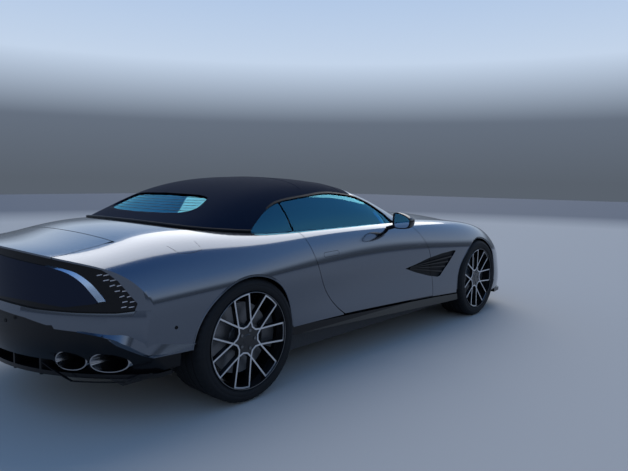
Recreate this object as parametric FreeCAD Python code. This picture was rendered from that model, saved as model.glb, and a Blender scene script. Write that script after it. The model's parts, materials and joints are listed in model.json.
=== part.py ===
import FreeCAD
import Part
import math
import os

from FreeCAD import Vector

# Two-door open grand tourer with its fabric roof up, full size, in millimetres.
# +X points to the nose, +Y to the car's left and +Z up. The origin lies on the ground,
# midway between nose and tail. Every outer panel is cut from one smooth body skin.

# Overall sizes
WHEELBASE = 2885.0
FRONT_AXLE_X = 1545.0
REAR_AXLE_X = FRONT_AXLE_X - WHEELBASE
TAIL_X = -2425.0
NOSE_X = 2425.0
BEYOND = 1300.0

# Wheels and tyres
TYRE_RADIUS = 357.0
FRONT_TYRE_WIDTH = 275.0
REAR_TYRE_WIDTH = 325.0
FRONT_WHEEL_FACE_Y = 955.0
REAR_WHEEL_FACE_Y = 972.0
FLANGE_RADIUS = 281.0
BARREL_WALL = 12.0
FRONT_ARCH_RADIUS = 391.0
REAR_ARCH_RADIUS = 379.0
LINER_RADIUS = 397.0
LINER_WALL = 8.0
TYRE_SHOULDER = 26.0
BEAD_DEPTH = 4.0
DISC_RADIUS = 205.0
DISC_THICKNESS = 34.0
DISC_SETBACK = 100.0
HUB_RADIUS = 75.0
LOOP_COUNT = 7
SPOKE_WIDTH = 13.0

# Panels
PANEL_WALL = 28.0
PANEL_GAP = 5.0
BONNET_GAP = 6.0
EDGE_LIP = 5.0
EDGE_REBATE = 16.0
VENT_DEPTH = 16.0
GLASS_WALL = 5.0
GLASS_INSET = 8.0
CABIN_WALL = 36.0
DOOR_INNER_Y = 790.0
DOOR_CORE_GAP = 18.0
BELT_Z = 925.0
SKIRT = 60.0
SEAT_GAP = 0.3

# The tail is turned about an upright axis. Columns of its profile: radius and height.
TAIL_AXIS_X = -1250.0
TAIL_RADIUS = TAIL_AXIS_X - TAIL_X
TAIL_PROFILE = [
    (TAIL_RADIUS - 135, 100), (TAIL_RADIUS - 90, 285), (TAIL_RADIUS - 25, 400),
    (TAIL_RADIUS - 2, 480), (TAIL_RADIUS - 2, 600), (TAIL_RADIUS - 8, 628), (TAIL_RADIUS, 880),
    (TAIL_RADIUS, 1100),
]
RECESS_DEPTH = 59.0
SHIELD_DEPTH = 18.0
SHIELD_WALL = 16.0
INSERT_RISE = 7.0

# Hinges
DOOR_HINGE_LOW = Vector(675, 895, 330)
DOOR_HINGE_HIGH = Vector(580, 895, 700)
DOOR_HINGE_HEIGHTS = [352.0, 690.0]
HINGE_POCKET = 48.0
BONNET_HINGE = Vector(2298, 0, 582)
BONNET_HINGE_Y = 250.0
BONNET_SHUT_RADIUS = 150.0
BOOT_HINGE = Vector(-2010, 0, 893)
BOOT_HINGE_Y = 330.0
BOOT_SHUT_RADIUS = 78.0
PIN_RADIUS = 6.0
PIN_PLAY = 0.3
EYE_RADIUS = 12.0
EYE_WIDTH = 20.0
KING_PIN_RADIUS = 10.0

ALONG = Vector(1, 0, 0)
ACROSS = Vector(0, 1, 0)
UP = Vector(0, 0, 1)

# The body skin is a grid of control points. Each station is a section across the car at x,
# given from the sill up to the centreline. Columns: x, then y and z of the sill, rocker,
# waist, flank, shoulder, crest, deck and bulge lines, then z of the centreline.
BODY_STATIONS = [
    (-2600, 740, 190, 780, 320, 810, 455, 840, 560, 840, 650, 768, 776, 570, 896, 300, 936, 942),
    (-2350, 800, 190, 835, 320, 860, 455, 885, 570, 885, 660, 808, 802, 590, 884, 310, 920, 926),
    (-2100, 855, 190, 885, 320, 900, 458, 918, 585, 920, 672, 845, 832, 625, 888, 320, 922, 934),
    (-1850, 900, 190, 925, 318, 935, 462, 952, 598, 960, 695, 872, 878, 655, 952, 330, 976, 986),
    (-1600, 925, 190, 945, 315, 958, 468, 980, 608, 992, 716, 894, 905, 685, 982, 340, 1003, 1008),
    (-1340, 930, 190, 950, 312, 965, 470, 988, 612, 1006, 728, 905, 914, 700, 978, 345, 1000, 1004),
    (-1050, 920, 190, 940, 310, 942, 472, 966, 612, 990, 734, 895, 920, 720, 958, 350, 968, 970),
    (-720, 910, 190, 928, 308, 912, 472, 935, 610, 956, 740, 876, 926, 735, 950, 355, 958, 960),
    (-350, 904, 190, 920, 306, 897, 470, 914, 608, 934, 744, 868, 928, 740, 950, 355, 955, 958),
    (50, 902, 190, 918, 304, 892, 468, 906, 605, 926, 742, 866, 926, 735, 948, 355, 955, 958),
    (450, 903, 190, 920, 302, 896, 465, 911, 602, 933, 738, 864, 924, 722, 942, 355, 960, 965),
    (800, 906, 190, 926, 300, 908, 462, 926, 598, 949, 730, 862, 924, 700, 936, 350, 975, 975),
    (1150, 912, 190, 935, 298, 926, 458, 945, 590, 968, 718, 862, 918, 680, 914, 345, 970, 972),
    (1450, 922, 190, 945, 294, 944, 450, 958, 578, 977, 704, 862, 902, 665, 884, 335, 938, 944),
    (1720, 930, 190, 952, 290, 952, 436, 958, 555, 968, 676, 848, 864, 640, 850, 320, 900, 904),
    (1950, 925, 190, 942, 285, 938, 415, 932, 525, 932, 632, 808, 796, 595, 800, 300, 846, 850),
    (2130, 890, 190, 905, 280, 896, 392, 882, 490, 870, 578, 745, 722, 540, 742, 275, 780, 785),
    (2270, 815, 190, 828, 276, 815, 370, 795, 455, 775, 528, 655, 642, 470, 668, 240, 700, 705),
    (2360, 700, 190, 712, 274, 700, 352, 680, 425, 655, 488, 550, 570, 395, 598, 205, 620, 625),
    (2410, 545, 190, 552, 276, 542, 342, 528, 402, 505, 455, 430, 515, 310, 540, 165, 555, 560),
    (NOSE_X, 385, 190, 390, 285, 384, 335, 372, 382, 355, 425, 305, 468, 225, 488, 120, 500, 503),
]

# The cabin skin, in the same way. Columns: x, then y and z of the base, glass foot, glass
# middle, rail, roof edge and roof middle lines, then z of the centreline.
CABIN_STATIONS = [
    (-1700, 560, 840, 550, 870, 520, 900, 470, 925, 385, 945, 210, 962, 966),
    (-1560, 690, 870, 676, 912, 648, 942, 590, 970, 490, 994, 255, 1018, 1024),
    (-1380, 760, 880, 735, 932, 696, 976, 636, 1022, 528, 1066, 275, 1102, 1108),
    (-1150, 800, 890, 768, 955, 722, 1030, 658, 1106, 548, 1166, 287, 1206, 1212),
    (-880, 820, 895, 780, 985, 722, 1077, 647, 1164, 540, 1230, 285, 1270, 1276),
    (-520, 822, 895, 775, 995, 712, 1092, 632, 1186, 528, 1252, 278, 1286, 1290),
    (-150, 818, 895, 768, 990, 704, 1082, 624, 1172, 520, 1232, 272, 1264, 1269),
    (150, 808, 895, 760, 972, 700, 1046, 622, 1118, 516, 1176, 270, 1214, 1220),
    (400, 785, 895, 745, 942, 690, 992, 618, 1044, 512, 1088, 268, 1124, 1130),
    (620, 740, 888, 708, 914, 660, 940, 592, 972, 490, 1002, 256, 1026, 1032),
    (820, 655, 870, 630, 890, 590, 908, 528, 926, 436, 942, 230, 956, 960),
    (960, 520, 830, 500, 845, 468, 855, 418, 865, 345, 874, 182, 880, 882),
]


def mirror(shape):
    """The same shape on the other side of the car."""
    return shape.mirror(Vector(0, 0, 0), ACROSS)


def both(shape):
    """The shape and its mirror image, as one set of solids."""
    return Part.makeCompound(shape.Solids + mirror(shape).Solids)


def union(shapes):
    """One shape from several that touch or overlap."""
    return shapes[0].multiFuse(shapes[1:]).removeSplitter()


def keep_big(shape, least=20000.0):
    """The solids of shape that are larger than a sliver."""
    return Part.makeCompound([s for s in shape.Solids if s.Volume > least])


def box(x, y, z):
    """A box from its ranges along X, Y and Z."""
    return Part.makeBox(x[1] - x[0], y[1] - y[0], z[1] - z[0], Vector(x[0], y[0], z[0]))


def rod(a, b, radius):
    """A round bar from a to b."""
    return Part.makeCylinder(radius, (b - a).Length, a, b - a)


def arc(p, q, r):
    """An arc through three points."""
    return Part.Arc(p, q, r).toShape()


def polygon_face(points):
    """A flat face inside a polygon."""
    return Part.Face(Part.makePolygon(points + [points[0]]))


def side_prism(points, y0, y1):
    """A prism across the car over a polygon of (x, z) points."""
    return polygon_face([Vector(x, y0, z) for x, z in points]).extrude(ACROSS * (y1 - y0))


def plan_prism(points, z0, z1):
    """An upright prism over a polygon of (x, y) points."""
    return polygon_face([Vector(x, y, z0) for x, y in points]).extrude(UP * (z1 - z0))


def front_prism(points, x0, x1):
    """A prism along the car over a polygon of (y, z) points."""
    return polygon_face([Vector(x0, y, z) for y, z in points]).extrude(ALONG * (x1 - x0))


def across(half):
    """A whole (y, z) outline from its left half, which runs from centreline to centreline."""
    return half + [(-y, z) for y, z in reversed(half) if y > 0]


def plan_across(half):
    """A whole (x, y) outline from its left half."""
    return half + [(x, -y) for x, y in reversed(half) if y > 0]


def turned(profile, axis_point, axis):
    """A solid of revolution from a closed polygon of points."""
    return polygon_face(profile).revolve(axis_point, axis, 360.0)


def half_section(station, inset):
    """Control points of a station's half section, moved inwards by inset."""
    line = [(station[i], station[i + 1]) for i in range(1, len(station) - 1, 2)]
    line.append((0.0, station[-1]))
    moved = []
    for i, (y, z) in enumerate(line):
        before = line[max(i - 1, 0)]
        after = line[i + 1] if i + 1 < len(line) else (-line[i - 1][0], line[i - 1][1])
        run_y, run_z = after[0] - before[0], after[1] - before[1]
        length = math.hypot(run_y, run_z)
        moved.append((y - inset * run_z / length, z + inset * run_y / length))
    moved[-1] = (0.0, moved[-1][1])
    return moved


def skin_rows(stations, inset, skirt):
    """The full control grid of a skin, right sill over the top to left sill."""
    rows = []
    longest = max(abs(s[0]) for s in stations)
    for station in stations:
        x = station[0] * (1.0 - inset / longest)
        half = half_section(station, inset)
        half[0] = (half[0][0], half[0][1] - skirt)
        right = [Vector(x, -y, z) for y, z in half]
        left = [Vector(x, y, z) for y, z in reversed(half[:-1])]
        rows.append(right + left)
    return rows


def skin_solid(stations, inset=0.0):
    """A closed solid under a smooth skin, with flat ends. An inset one reaches lower."""
    rows = skin_rows(stations, inset, SKIRT if inset else 0.0)
    knots = []
    for count in (len(rows), len(rows[0])):
        spans = count - 3
        knots.append((list(range(spans + 1)), [4] + [1] * (spans - 1) + [4]))
    surface = Part.BSplineSurface()
    surface.buildFromPolesMultsKnots(
        rows, knots[0][1], knots[1][1], knots[0][0], knots[1][0], False, False, 3, 3
    )
    u0, u1, v0, v1 = surface.bounds()
    right, left = surface.vIso(v0).toShape(), surface.vIso(v1).toShape()
    caps = []
    for u in (u0, u1):
        rim = surface.uIso(u).toShape()
        ends = [v.Point for v in rim.Vertexes]
        caps.append(Part.Face(Part.Wire([rim, Part.makeLine(ends[-1], ends[0])])))
    shell = Part.makeShell([surface.toShape(), Part.makeRuledSurface(right, left)] + caps)
    shell.sewShape()
    solid = Part.Solid(shell)
    if solid.Volume < 0:
        solid.reverse()
    return solid


def tail_solid(inset):
    """Everything ahead of the rounded tail: a turned drum and a long box ahead of it."""
    z_low, z_high = TAIL_PROFILE[0][1], TAIL_PROFILE[-1][1]
    ring = [(0.0, z_low)] + [(r - inset, z) for r, z in TAIL_PROFILE] + [(0.0, z_high)]
    points = [Vector(TAIL_AXIS_X + r, 0, z) for r, z in ring]
    drum = turned(points, Vector(TAIL_AXIS_X, 0, 0), UP)
    return drum.fuse(box((TAIL_AXIS_X, NOSE_X + SKIRT), (-BEYOND, BEYOND), (z_low, z_high)))


def body_solid(inset=0.0):
    """The whole body under its skin and inside its rounded tail."""
    return skin_solid(BODY_STATIONS, inset).common(tail_solid(inset))


def tail_band(r_in, r_out, z0, z1):
    """A band around the tail's axis between two radii and two heights."""
    base = Vector(TAIL_AXIS_X, 0, z0)
    whole = Part.makeCylinder(r_out, z1 - z0, base, UP)
    return whole.cut(Part.makeCylinder(r_in, z1 - z0, base, UP))


def wheel_cylinder(axle_x, radius, y0, y1):
    """A cylinder on a wheel's axis."""
    return Part.makeCylinder(radius, y1 - y0, Vector(axle_x, y0, TYRE_RADIUS), ACROSS)


def hinge_disc(hinge, radius, half_width):
    """A cylinder about a lid's hinge axis, which runs across the car."""
    return Part.makeCylinder(radius, 2 * half_width, hinge - ACROSS * half_width, ACROSS)


def door_outline(gap, y):
    """The door's outline in side view at y, moved inwards by gap."""
    def at(x, z):
        return Vector(x, y, z)
    rear_top, rear_mid, rear_low = at(-806 + gap, 936), at(-686 + gap, 599), at(-426 + gap, 345 + gap)
    front_low, front_mid, front_top = at(758 - gap, 296 + gap), at(690 - gap, 626), at(502 - gap, 896)
    above_rear, above_front = at(-826 + gap, 1020), at(420 - gap, 1020)
    return Part.Face(Part.Wire([
        Part.makeLine(above_rear, rear_top),
        arc(rear_top, rear_mid, rear_low),
        Part.makeLine(rear_low, front_low),
        arc(front_low, front_mid, front_top),
        Part.makeLine(front_top, above_front),
        Part.makeLine(above_front, above_rear),
    ]))


def door_prism(gap, y0=DOOR_INNER_Y, y1=BEYOND):
    """The prism across the car over the door's outline."""
    return door_outline(gap, y0).extrude(ACROSS * (y1 - y0))


def hinge_point(z):
    """A point on the left door's hinge axis at height z."""
    share = (z - DOOR_HINGE_LOW.z) / (DOOR_HINGE_HIGH.z - DOOR_HINGE_LOW.z)
    return DOOR_HINGE_LOW + (DOOR_HINGE_HIGH - DOOR_HINGE_LOW) * share


def hinge_cylinder(z, half_height, radius):
    """A cylinder on the left door's hinge axis about height z."""
    return rod(hinge_point(z - half_height), hinge_point(z + half_height), radius)


parts = {}

# Skins and shells
outer = body_solid()
inner = body_solid(PANEL_WALL)
deep = body_solid(2 * PANEL_WALL)
under_lip = skin_solid(BODY_STATIONS, EDGE_LIP)
vent_floor = skin_solid(BODY_STATIONS, VENT_DEPTH)
cabin_outer = skin_solid(CABIN_STATIONS)
cabin_inner = skin_solid(CABIN_STATIONS, CABIN_WALL)
cabin_wall = cabin_outer.cut(cabin_inner)
glass_inner = skin_solid(CABIN_STATIONS, GLASS_INSET + GLASS_WALL)
cabin_glass = skin_solid(CABIN_STATIONS, GLASS_INSET).cut(glass_inner)

arch_tools = []
for axle_x, radius in ((FRONT_AXLE_X, FRONT_ARCH_RADIUS), (REAR_AXLE_X, REAR_ARCH_RADIUS)):
    arch = wheel_cylinder(axle_x, radius, 560, BEYOND)
    arch_tools += [arch, mirror(arch)]
arches = Part.makeCompound(arch_tools)
COCKPIT_X = (-1146, 640)
cockpit = box(COCKPIT_X, (-DOOR_INNER_Y, DOOR_INNER_Y), (700, 1100))
shell = outer.cut(inner).cut(arches).cut(cockpit)
door_cut = door_prism(-PANEL_GAP / 2, DOOR_INNER_Y - 30)
door_cuts = Part.makeCompound([door_cut, mirror(door_cut)])

# Side vents: a shallow recess behind each front wheel, with blades that meet at its rear tip
VENT = [(334, 574), (492, 598), (664, 631), (854, 653), (1049, 665), (1077, 657), (982, 550),
        (868, 456), (828, 451), (687, 477), (490, 527)]
VENT_TIP = (334, 574)
VENT_FRONT_TOP = (1066, 652)
VENT_FRONT_LOW = (850, 452)
BLADE_COUNT = 4
BLADE_START = 0.25
BLADE_HALF = (2.0, 6.0)


def vent_blade(k):
    """Blade k of the left side vent as a prism, thin at the rear and thick at the front."""
    share = k / (BLADE_COUNT + 1)
    x1, z1 = (a + (b - a) * share for a, b in zip(VENT_FRONT_TOP, VENT_FRONT_LOW))
    x0, z0 = (t + (f - t) * BLADE_START for t, f in zip(VENT_TIP, (x1, z1)))
    thin, thick = BLADE_HALF
    return side_prism([(x0, z0 - thin), (x1, z1 - thick), (x1, z1 + thick), (x0, z0 + thin)], 800, BEYOND)


vent_recess = side_prism(VENT, 800, BEYOND).cut(vent_floor)
blade_set = Part.makeCompound([vent_blade(k) for k in range(1, BLADE_COUNT + 1)])
blades = blade_set.common(vent_recess).common(under_lip)

# Doors with their hinge eyes. The core is cut back ahead of the hinge, where the door swings in.
CORE_FRONT = [(640, 250), (520, 720), (430, 1000), (1000, 1000), (1000, 250)]
EYE_HALF = 11.0
PIN_HALF = 34.0
BARREL_HALF = 36.0
BARREL_RADIUS = 15.0
BARREL_GAP = 2.0
skin = shell.common(door_prism(PANEL_GAP / 2)).cut(vent_recess)
core = outer.common(door_prism(DOOR_CORE_GAP)).cut(side_prism(CORE_FRONT, 700, BEYOND)).cut(vent_recess)
core = core.cut(box((-2000, 2000), (0, BEYOND), (BELT_Z - 45, BEYOND)))
door = skin.fuse(core)
for z in DOOR_HINGE_HEIGHTS:
    door = door.fuse(hinge_cylinder(z, BARREL_HALF, BARREL_RADIUS).common(under_lip))
    pocket = hinge_cylinder(z, EYE_HALF + BARREL_GAP, HINGE_POCKET)
    door = door.cut(pocket.common(box((0, 1000), (0, DOOR_HINGE_LOW.y + EYE_RADIUS + 1), (0, 1200))))
    door = door.cut(hinge_cylinder(z, BARREL_HALF + BARREL_GAP, PIN_RADIUS + PIN_PLAY))
door_blades = blades.common(door_prism(PANEL_GAP / 2))
door = keep_big(door)
parts["door_left"] = union([door] + door_blades.Solids)
parts["door_right"] = mirror(parts["door_left"])
parts["side_vents"] = both(blades.cut(door_cut))

hinge_arms = []
for z in DOOR_HINGE_HEIGHTS:
    p = hinge_point(z)
    arm = box((p.x - 10, p.x + 10), (DOOR_INNER_Y - 20, p.y), (z - EYE_HALF, z + EYE_HALF))
    arm = arm.fuse(hinge_cylinder(z, EYE_HALF, EYE_RADIUS))
    hinge_arms.append(arm.fuse(hinge_cylinder(z, PIN_HALF, PIN_RADIUS)))

# Side glass: the door's pane and the fixed pane behind it. Columns of WINDOW: x and z of its top edge.
WINDOW = [(-1180, 930), (-1120, 985), (-1000, 1062), (-850, 1118), (-560, 1152), (-293, 1170), (3, 1144),
          (130, 1108), (224, 1064), (330, 985), (400, 925)]
DOOR_PANE = [(-768, 850), (-788, 915), (-812, 965), (-846, 1180), (180, 1180), (224, 1064), (264, 941),
             (264, 850)]
QUARTER_PANE = [(-1300, 850), (-1300, 1200), (-862, 1200), (-822, 930), (-822, 850)]
pane = cabin_glass.common(side_prism(WINDOW + [(400, 880), (-1180, 880)], 500, 1000))
door_pane = pane.common(side_prism(DOOR_PANE, 500, 1000))
parts["door_glass_left"] = keep_big(door_pane.cut(parts["door_left"]))
parts["door_glass_right"] = mirror(parts["door_glass_left"])
quarter_pane = pane.common(side_prism(QUARTER_PANE, 500, 1000))
parts["quarter_glass"] = both(keep_big(quarter_pane.cut(shell)))

# Windscreen and its frame. SCREEN is half of the opening in plan, HEADER_X the rear of the frame.
SCREEN = [(75, 0), (40, 560), (230, 585), (400, 572), (620, 540), (800, 470), (980, 300), (1010, 0)]
HEADER_X = -8
screen_tool = plan_prism(plan_across(SCREEN), 850, 1400)
side_window = side_prism([(-2000, 800), (-1180, 800)] + WINDOW + [(400, 800)], 500, 1000)
windows = Part.makeCompound([side_window, mirror(side_window)])
header_tool = plan_prism(plan_across([(28, 0), (HEADER_X, 900), (1200, 900)]), 700, 1400)
frame = cabin_wall.common(header_tool).cut(screen_tool).cut(windows).cut(shell)
parts["windscreen_frame"] = keep_big(frame.cut(box((-200, 1200), (-1000, 1000), (600, 915))))
screen = cabin_glass.common(screen_tool).cut(shell).cut(box((-200, 1200), (-1000, 1000), (600, 940)))
parts["windscreen"] = max(screen.Solids, key=lambda s: s.Volume)

# Soft top with its rear window
REAR_WINDOW = [(0, 1040), (480, 1040), (420, 1168), (0, 1168)]
window_tool = front_prism(across(REAR_WINDOW), -1700, -1100)
top = cabin_wall.cut(header_tool).cut(windows).cut(outer)
parts["soft_top"] = keep_big(top.cut(window_tool))
parts["rear_window"] = keep_big(cabin_glass.common(window_tool).cut(outer))

# Rear deck: tonneau cover and boot lid. The lid's front edge is round about its hinge, so that
# it rolls down inside the deck as the lid opens. TONNEAU and LID are half outlines in plan.
TONNEAU = [(-1146, 0), (-1146, 670), (-1268, 826), (-1400, 775), (-1630, 665), (-1775, 640), (-1990, 562),
           (-1990, 0)]
LID = [(-1850, 0), (-1850, 548), (-2010, 558), (-2115, 562), (-2200, 582), (-2460, 592), (-2460, 0)]
rear = shell.common(box((-2600, 0), (-BEYOND, BEYOND), (100, 1100)))
shut_ring = hinge_disc(BOOT_HINGE, BOOT_SHUT_RADIUS + PANEL_GAP, BEYOND)
lid_tool = plan_prism(plan_across(LID), 760, 1100)
lid_opening = plan_prism(plan_across([(x, y + PANEL_GAP if y else 0) for x, y in LID]), 760, 1100)
behind_hinge = box((-2600, BOOT_HINGE.x), (-BEYOND, BEYOND), (100, 1100))
lid_reach = behind_hinge.fuse(hinge_disc(BOOT_HINGE, BOOT_SHUT_RADIUS, BEYOND))
opening_reach = behind_hinge.fuse(shut_ring)
lid_hole = lid_opening.common(opening_reach)
lid = rear.common(lid_tool).common(lid_reach)
tonneau_tool = plan_prism(plan_across(TONNEAU), 760, 1100)
cover = rear.common(tonneau_tool).cut(cabin_inner).cut(opening_reach)
parts["tonneau_cover"] = keep_big(cover)

# Rear recess, half outline in rear view, from its foot over the tail to the lip
RECESS = [(0, 645), (230, 643), (486, 621), (683, 615), (829, 615), (886, 624), (897, 663), (841, 773),
          (788, 832), (738, 853), (666, 873), (288, 925), (0, 934)]
recess_ring = tail_band(TAIL_RADIUS - RECESS_DEPTH, TAIL_RADIUS + SKIRT, 600, 960)
recess = front_prism(across(RECESS), -2500, -1900).common(recess_ring)
rear = rear.cut(recess).cut(door_cuts)
lid = lid.cut(recess)

BUMPER_ZONE = [(-1660, 100), (-1660, 612), (-1800, 632), (-2000, 640), (-2300, 650),
               (-2600, 650), (-2600, 100)]
SILL_ZONE = [(-1300, 366), (-426, 342), (758, 292), (1300, 262), (1300, 60), (-1300, 60)]
AHEAD_OF_QUARTER = [(-380, 200), (-760, 1100), (1000, 1100), (1000, 200)]
bumper_zone = side_prism(BUMPER_ZONE, -BEYOND, BEYOND)
sill_zone = side_prism(SILL_ZONE, -BEYOND, BEYOND)
quarters = rear.cut(bumper_zone).cut(side_prism(AHEAD_OF_QUARTER, -BEYOND, BEYOND)).cut(sill_zone)
parts["rear_body"] = keep_big(quarters.cut(tonneau_tool).cut(lid_hole))

# Rear bumper, painted, and the black diffuser behind and below it. Half outlines in rear view.
BUMPER_LOW = [(0, 600), (255, 597), (432, 575), (549, 548), (575, 550), (586, 532), (733, 521), (802, 492),
              (824, 458), (914, 382), (1000, 377), (1000, 80), (0, 80)]
DIFFUSER = [(0, 606), (257, 603), (436, 581), (552, 555), (581, 557), (592, 539), (736, 528), (810, 496),
            (832, 464), (905, 398), (895, 300), (800, 255), (590, 252), (507, 313), (470, 345), (0, 345)]
parts["rear_bumper"] = keep_big(rear.common(bumper_zone).cut(front_prism(across(BUMPER_LOW), -2600, -1500)))
diffuser = inner.cut(deep).common(front_prism(across(DIFFUSER), -2600, -1760))
UNDERTRAY_Z = (262, 284)
FIN_Y = (-390, -195, 0, 195, 390)
FIN_HALF = 6.0
FIN_Z = (256, 352)
tray_radius = TAIL_RADIUS - 92
tray = tail_band(300, tray_radius, *UNDERTRAY_Z).common(box((-2600, -1800), (-880, 880), (0, 1000)))
pieces = [diffuser, tray]
for y in FIN_Y:
    fin_box = box((-2600, -1900), (y - FIN_HALF, y + FIN_HALF), (0, 1000))
    pieces.append(tail_band(TAIL_RADIUS - 400, tray_radius, *FIN_Z).common(fin_box))
diffuser = union(pieces)

# Exhaust tips: two wide ovals a side, cut off along the tail's curve. Columns: y and z.
EXHAUSTS = [(573, 353), (733, 350)]
TIP_HALF_WIDTH = 74.0
TIP_HALF_HEIGHT = 50.0
TIP_WALL = 5.0
TIP_RADIUS = TAIL_RADIUS - 76
TIP_FRONT_X = -1900


def oval(y, z, grow, x0):
    """A long oval prism around an exhaust tip, from x0 to the tips' front ends."""
    ellipse = Part.Ellipse(Vector(x0, y, z), TIP_HALF_WIDTH + grow, TIP_HALF_HEIGHT + grow)
    ellipse.Axis = ALONG
    ellipse.XAxis = ACROSS
    return Part.Face(Part.Wire(ellipse.toShape())).extrude(ALONG * (TIP_FRONT_X - x0))


tail_cylinder = Part.makeCylinder(TIP_RADIUS, 400, Vector(TAIL_AXIS_X, 0, 200), UP)
tips = []
for y, z in EXHAUSTS:
    tips.append(oval(y, z, 0.0, -2500).cut(oval(y, z, -TIP_WALL, -2500)).common(tail_cylinder))
    bore = oval(y, z, SEAT_GAP, -2500)
    diffuser = diffuser.cut(bore).cut(mirror(bore))
parts["rear_diffuser"] = keep_big(diffuser)
parts["exhaust_tips"] = both(Part.makeCompound(tips))

# Rear shield: a black plate in the recess with a raised panel, and two columns of lamp dashes a side.
# Columns of LAMPS: y and z of the inner end, y and z of the outer end.
INSERT = [(0, 672), (442, 660), (629, 640), (766, 664), (783, 673), (764, 711), (730, 761), (682, 803),
          (634, 822), (546, 841), (248, 879), (0, 894)]
LAMPS = [(757, 798, 777, 803), (780, 773, 801, 778), (802, 747, 820, 753), (819, 722, 836, 725),
         (834, 694, 850, 700), (843, 669, 859, 673), (839, 643, 856, 647)]
LAMP_SPACING = 24.0
LAMP_HALF_HEIGHT = 3.5
LAMP_RISE = 5.0
LIP_GAP = 7.0
SHIELD_NARROWING = 0.9985
shield_out = TAIL_RADIUS - SHIELD_DEPTH
shield_edge = [(y * SHIELD_NARROWING, z + SEAT_GAP if z < 640 or y > 860 else z - LIP_GAP) for y, z in RECESS]
shield_edge[0], shield_edge[1] = (0, 645 + SEAT_GAP), (230, 643 + SEAT_GAP)
shield = tail_band(shield_out - SHIELD_WALL, shield_out, 600, 960)
shield = shield.common(front_prism(across(shield_edge), -2500, -1850)).common(outer)
raised = tail_band(shield_out - 1, shield_out + INSERT_RISE, 600, 960)
shield = shield.fuse(raised.common(front_prism(across(INSERT), -2500, -1850)))
lamp_band = tail_band(shield_out - SHIELD_WALL / 2, shield_out + LAMP_RISE, 600, 960).common(outer)
dashes = []
for y0, z0, y1, z1 in LAMPS:
    for shift in (0, LAMP_SPACING):
        h = LAMP_HALF_HEIGHT
        dash = [(y0 + shift, z0 - h), (y1 + shift, z1 - h), (y1 + shift, z1 + h), (y0 + shift, z0 + h)]
        dashes += lamp_band.common(front_prism(dash, -2500, -1850)).Solids
parts["tail_lamps"] = both(Part.makeCompound(dashes))
parts["rear_shield"] = keep_big(shield.cut(parts["tail_lamps"]))

# Boot lid: its hinge lugs hang down to the pins
lid_pieces = [keep_big(lid)]
for y in (-BOOT_HINGE_Y, BOOT_HINGE_Y):
    centre = BOOT_HINGE + ACROSS * y
    lug = box((centre.x - EYE_RADIUS, centre.x + EYE_RADIUS), (y - EYE_WIDTH / 2, y + EYE_WIDTH / 2),
              (centre.z, centre.z + 36))
    lid_pieces += [hinge_disc(centre, EYE_RADIUS, EYE_WIDTH / 2), lug]
lid = union(lid_pieces)
for y in (-BOOT_HINGE_Y, BOOT_HINGE_Y):
    lid = lid.cut(hinge_disc(BOOT_HINGE + ACROSS * y, PIN_RADIUS + PIN_PLAY, EYE_WIDTH))
parts["boot_lid"] = lid

# Front end: bonnet, cowl, fenders, bumper, lamps and grille. The bonnet's front edge is round about
# its hinge, which lies ahead of it, so that the edge lifts clear of the nose.
BONNET_SIDE = [(744, 700), (1500, 700), (2250, 500), (2400, 460)]
COWL_REAR = 505.0
COWL_MIDDLE = 935.0


def bonnet_plan(grow):
    """The bonnet's outline in plan, made larger all round by grow."""
    def at(x, y):
        return Vector(x, y, 300)
    edge = arc(at(COWL_REAR - grow, -1000), at(COWL_MIDDLE - grow, 0), at(COWL_REAR - grow, 1000))
    ends = [at(COWL_REAR - grow, 1000), at(NOSE_X, 1000), at(NOSE_X, -1000), at(COWL_REAR - grow, -1000)]
    lines = [Part.makeLine(p, q) for p, q in zip(ends, ends[1:])]
    ahead = Part.Face(Part.Wire(Part.__sortEdges__([edge] + lines))).extrude(UP * 900)
    side = [(0, 0), (0, BONNET_SIDE[0][1] + grow)] + [(x, y + grow) for x, y in BONNET_SIDE[1:]]
    return ahead.common(plan_prism(plan_across(side + [(BONNET_SIDE[-1][0], 0)]), 300, 1200))


front = shell.common(box((0, 2600), (-BEYOND, BEYOND), (100, 1200)))
behind_cowl = side_prism([(-10, 200), (-10, 1100), (430, 1100), (430, 200)], -BEYOND, BEYOND)
front = front.cut(door_cuts).cut(behind_cowl).cut(sill_zone)
rebate = door_prism(-PANEL_GAP / 2 - EDGE_REBATE, 700).common(under_lip)
front = front.cut(rebate).cut(mirror(rebate)).cut(vent_recess).cut(mirror(vent_recess))

HEADLAMP = [(1975, 800), (2050, 660), (2200, 575), (2296, 480), (2330, 560), (2240, 700), (2120, 830),
            (2010, 860)]
head_tool = plan_prism(HEADLAMP, 560, 900)
head_tools = head_tool.fuse(mirror(head_tool))
parts["headlamps"] = keep_big(front.common(head_tools))

upper = box((600, 2600), (-BEYOND, BEYOND), (600, 1200))
nose_disc = hinge_disc(BONNET_HINGE, BONNET_SHUT_RADIUS, BEYOND)
nose_keep = hinge_disc(BONNET_HINGE, BONNET_SHUT_RADIUS - BONNET_GAP, BEYOND)
ahead_of_hinge = box((BONNET_HINGE.x, 2600), (-BEYOND, BEYOND), (100, 1200))
bonnet = front.common(bonnet_plan(0.0)).common(upper).cut(nose_disc).cut(ahead_of_hinge)
bonnet_hole = bonnet_plan(BONNET_GAP).common(upper).cut(nose_keep).cut(ahead_of_hinge)
rest = front.cut(bonnet_hole).cut(head_tools)

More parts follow.
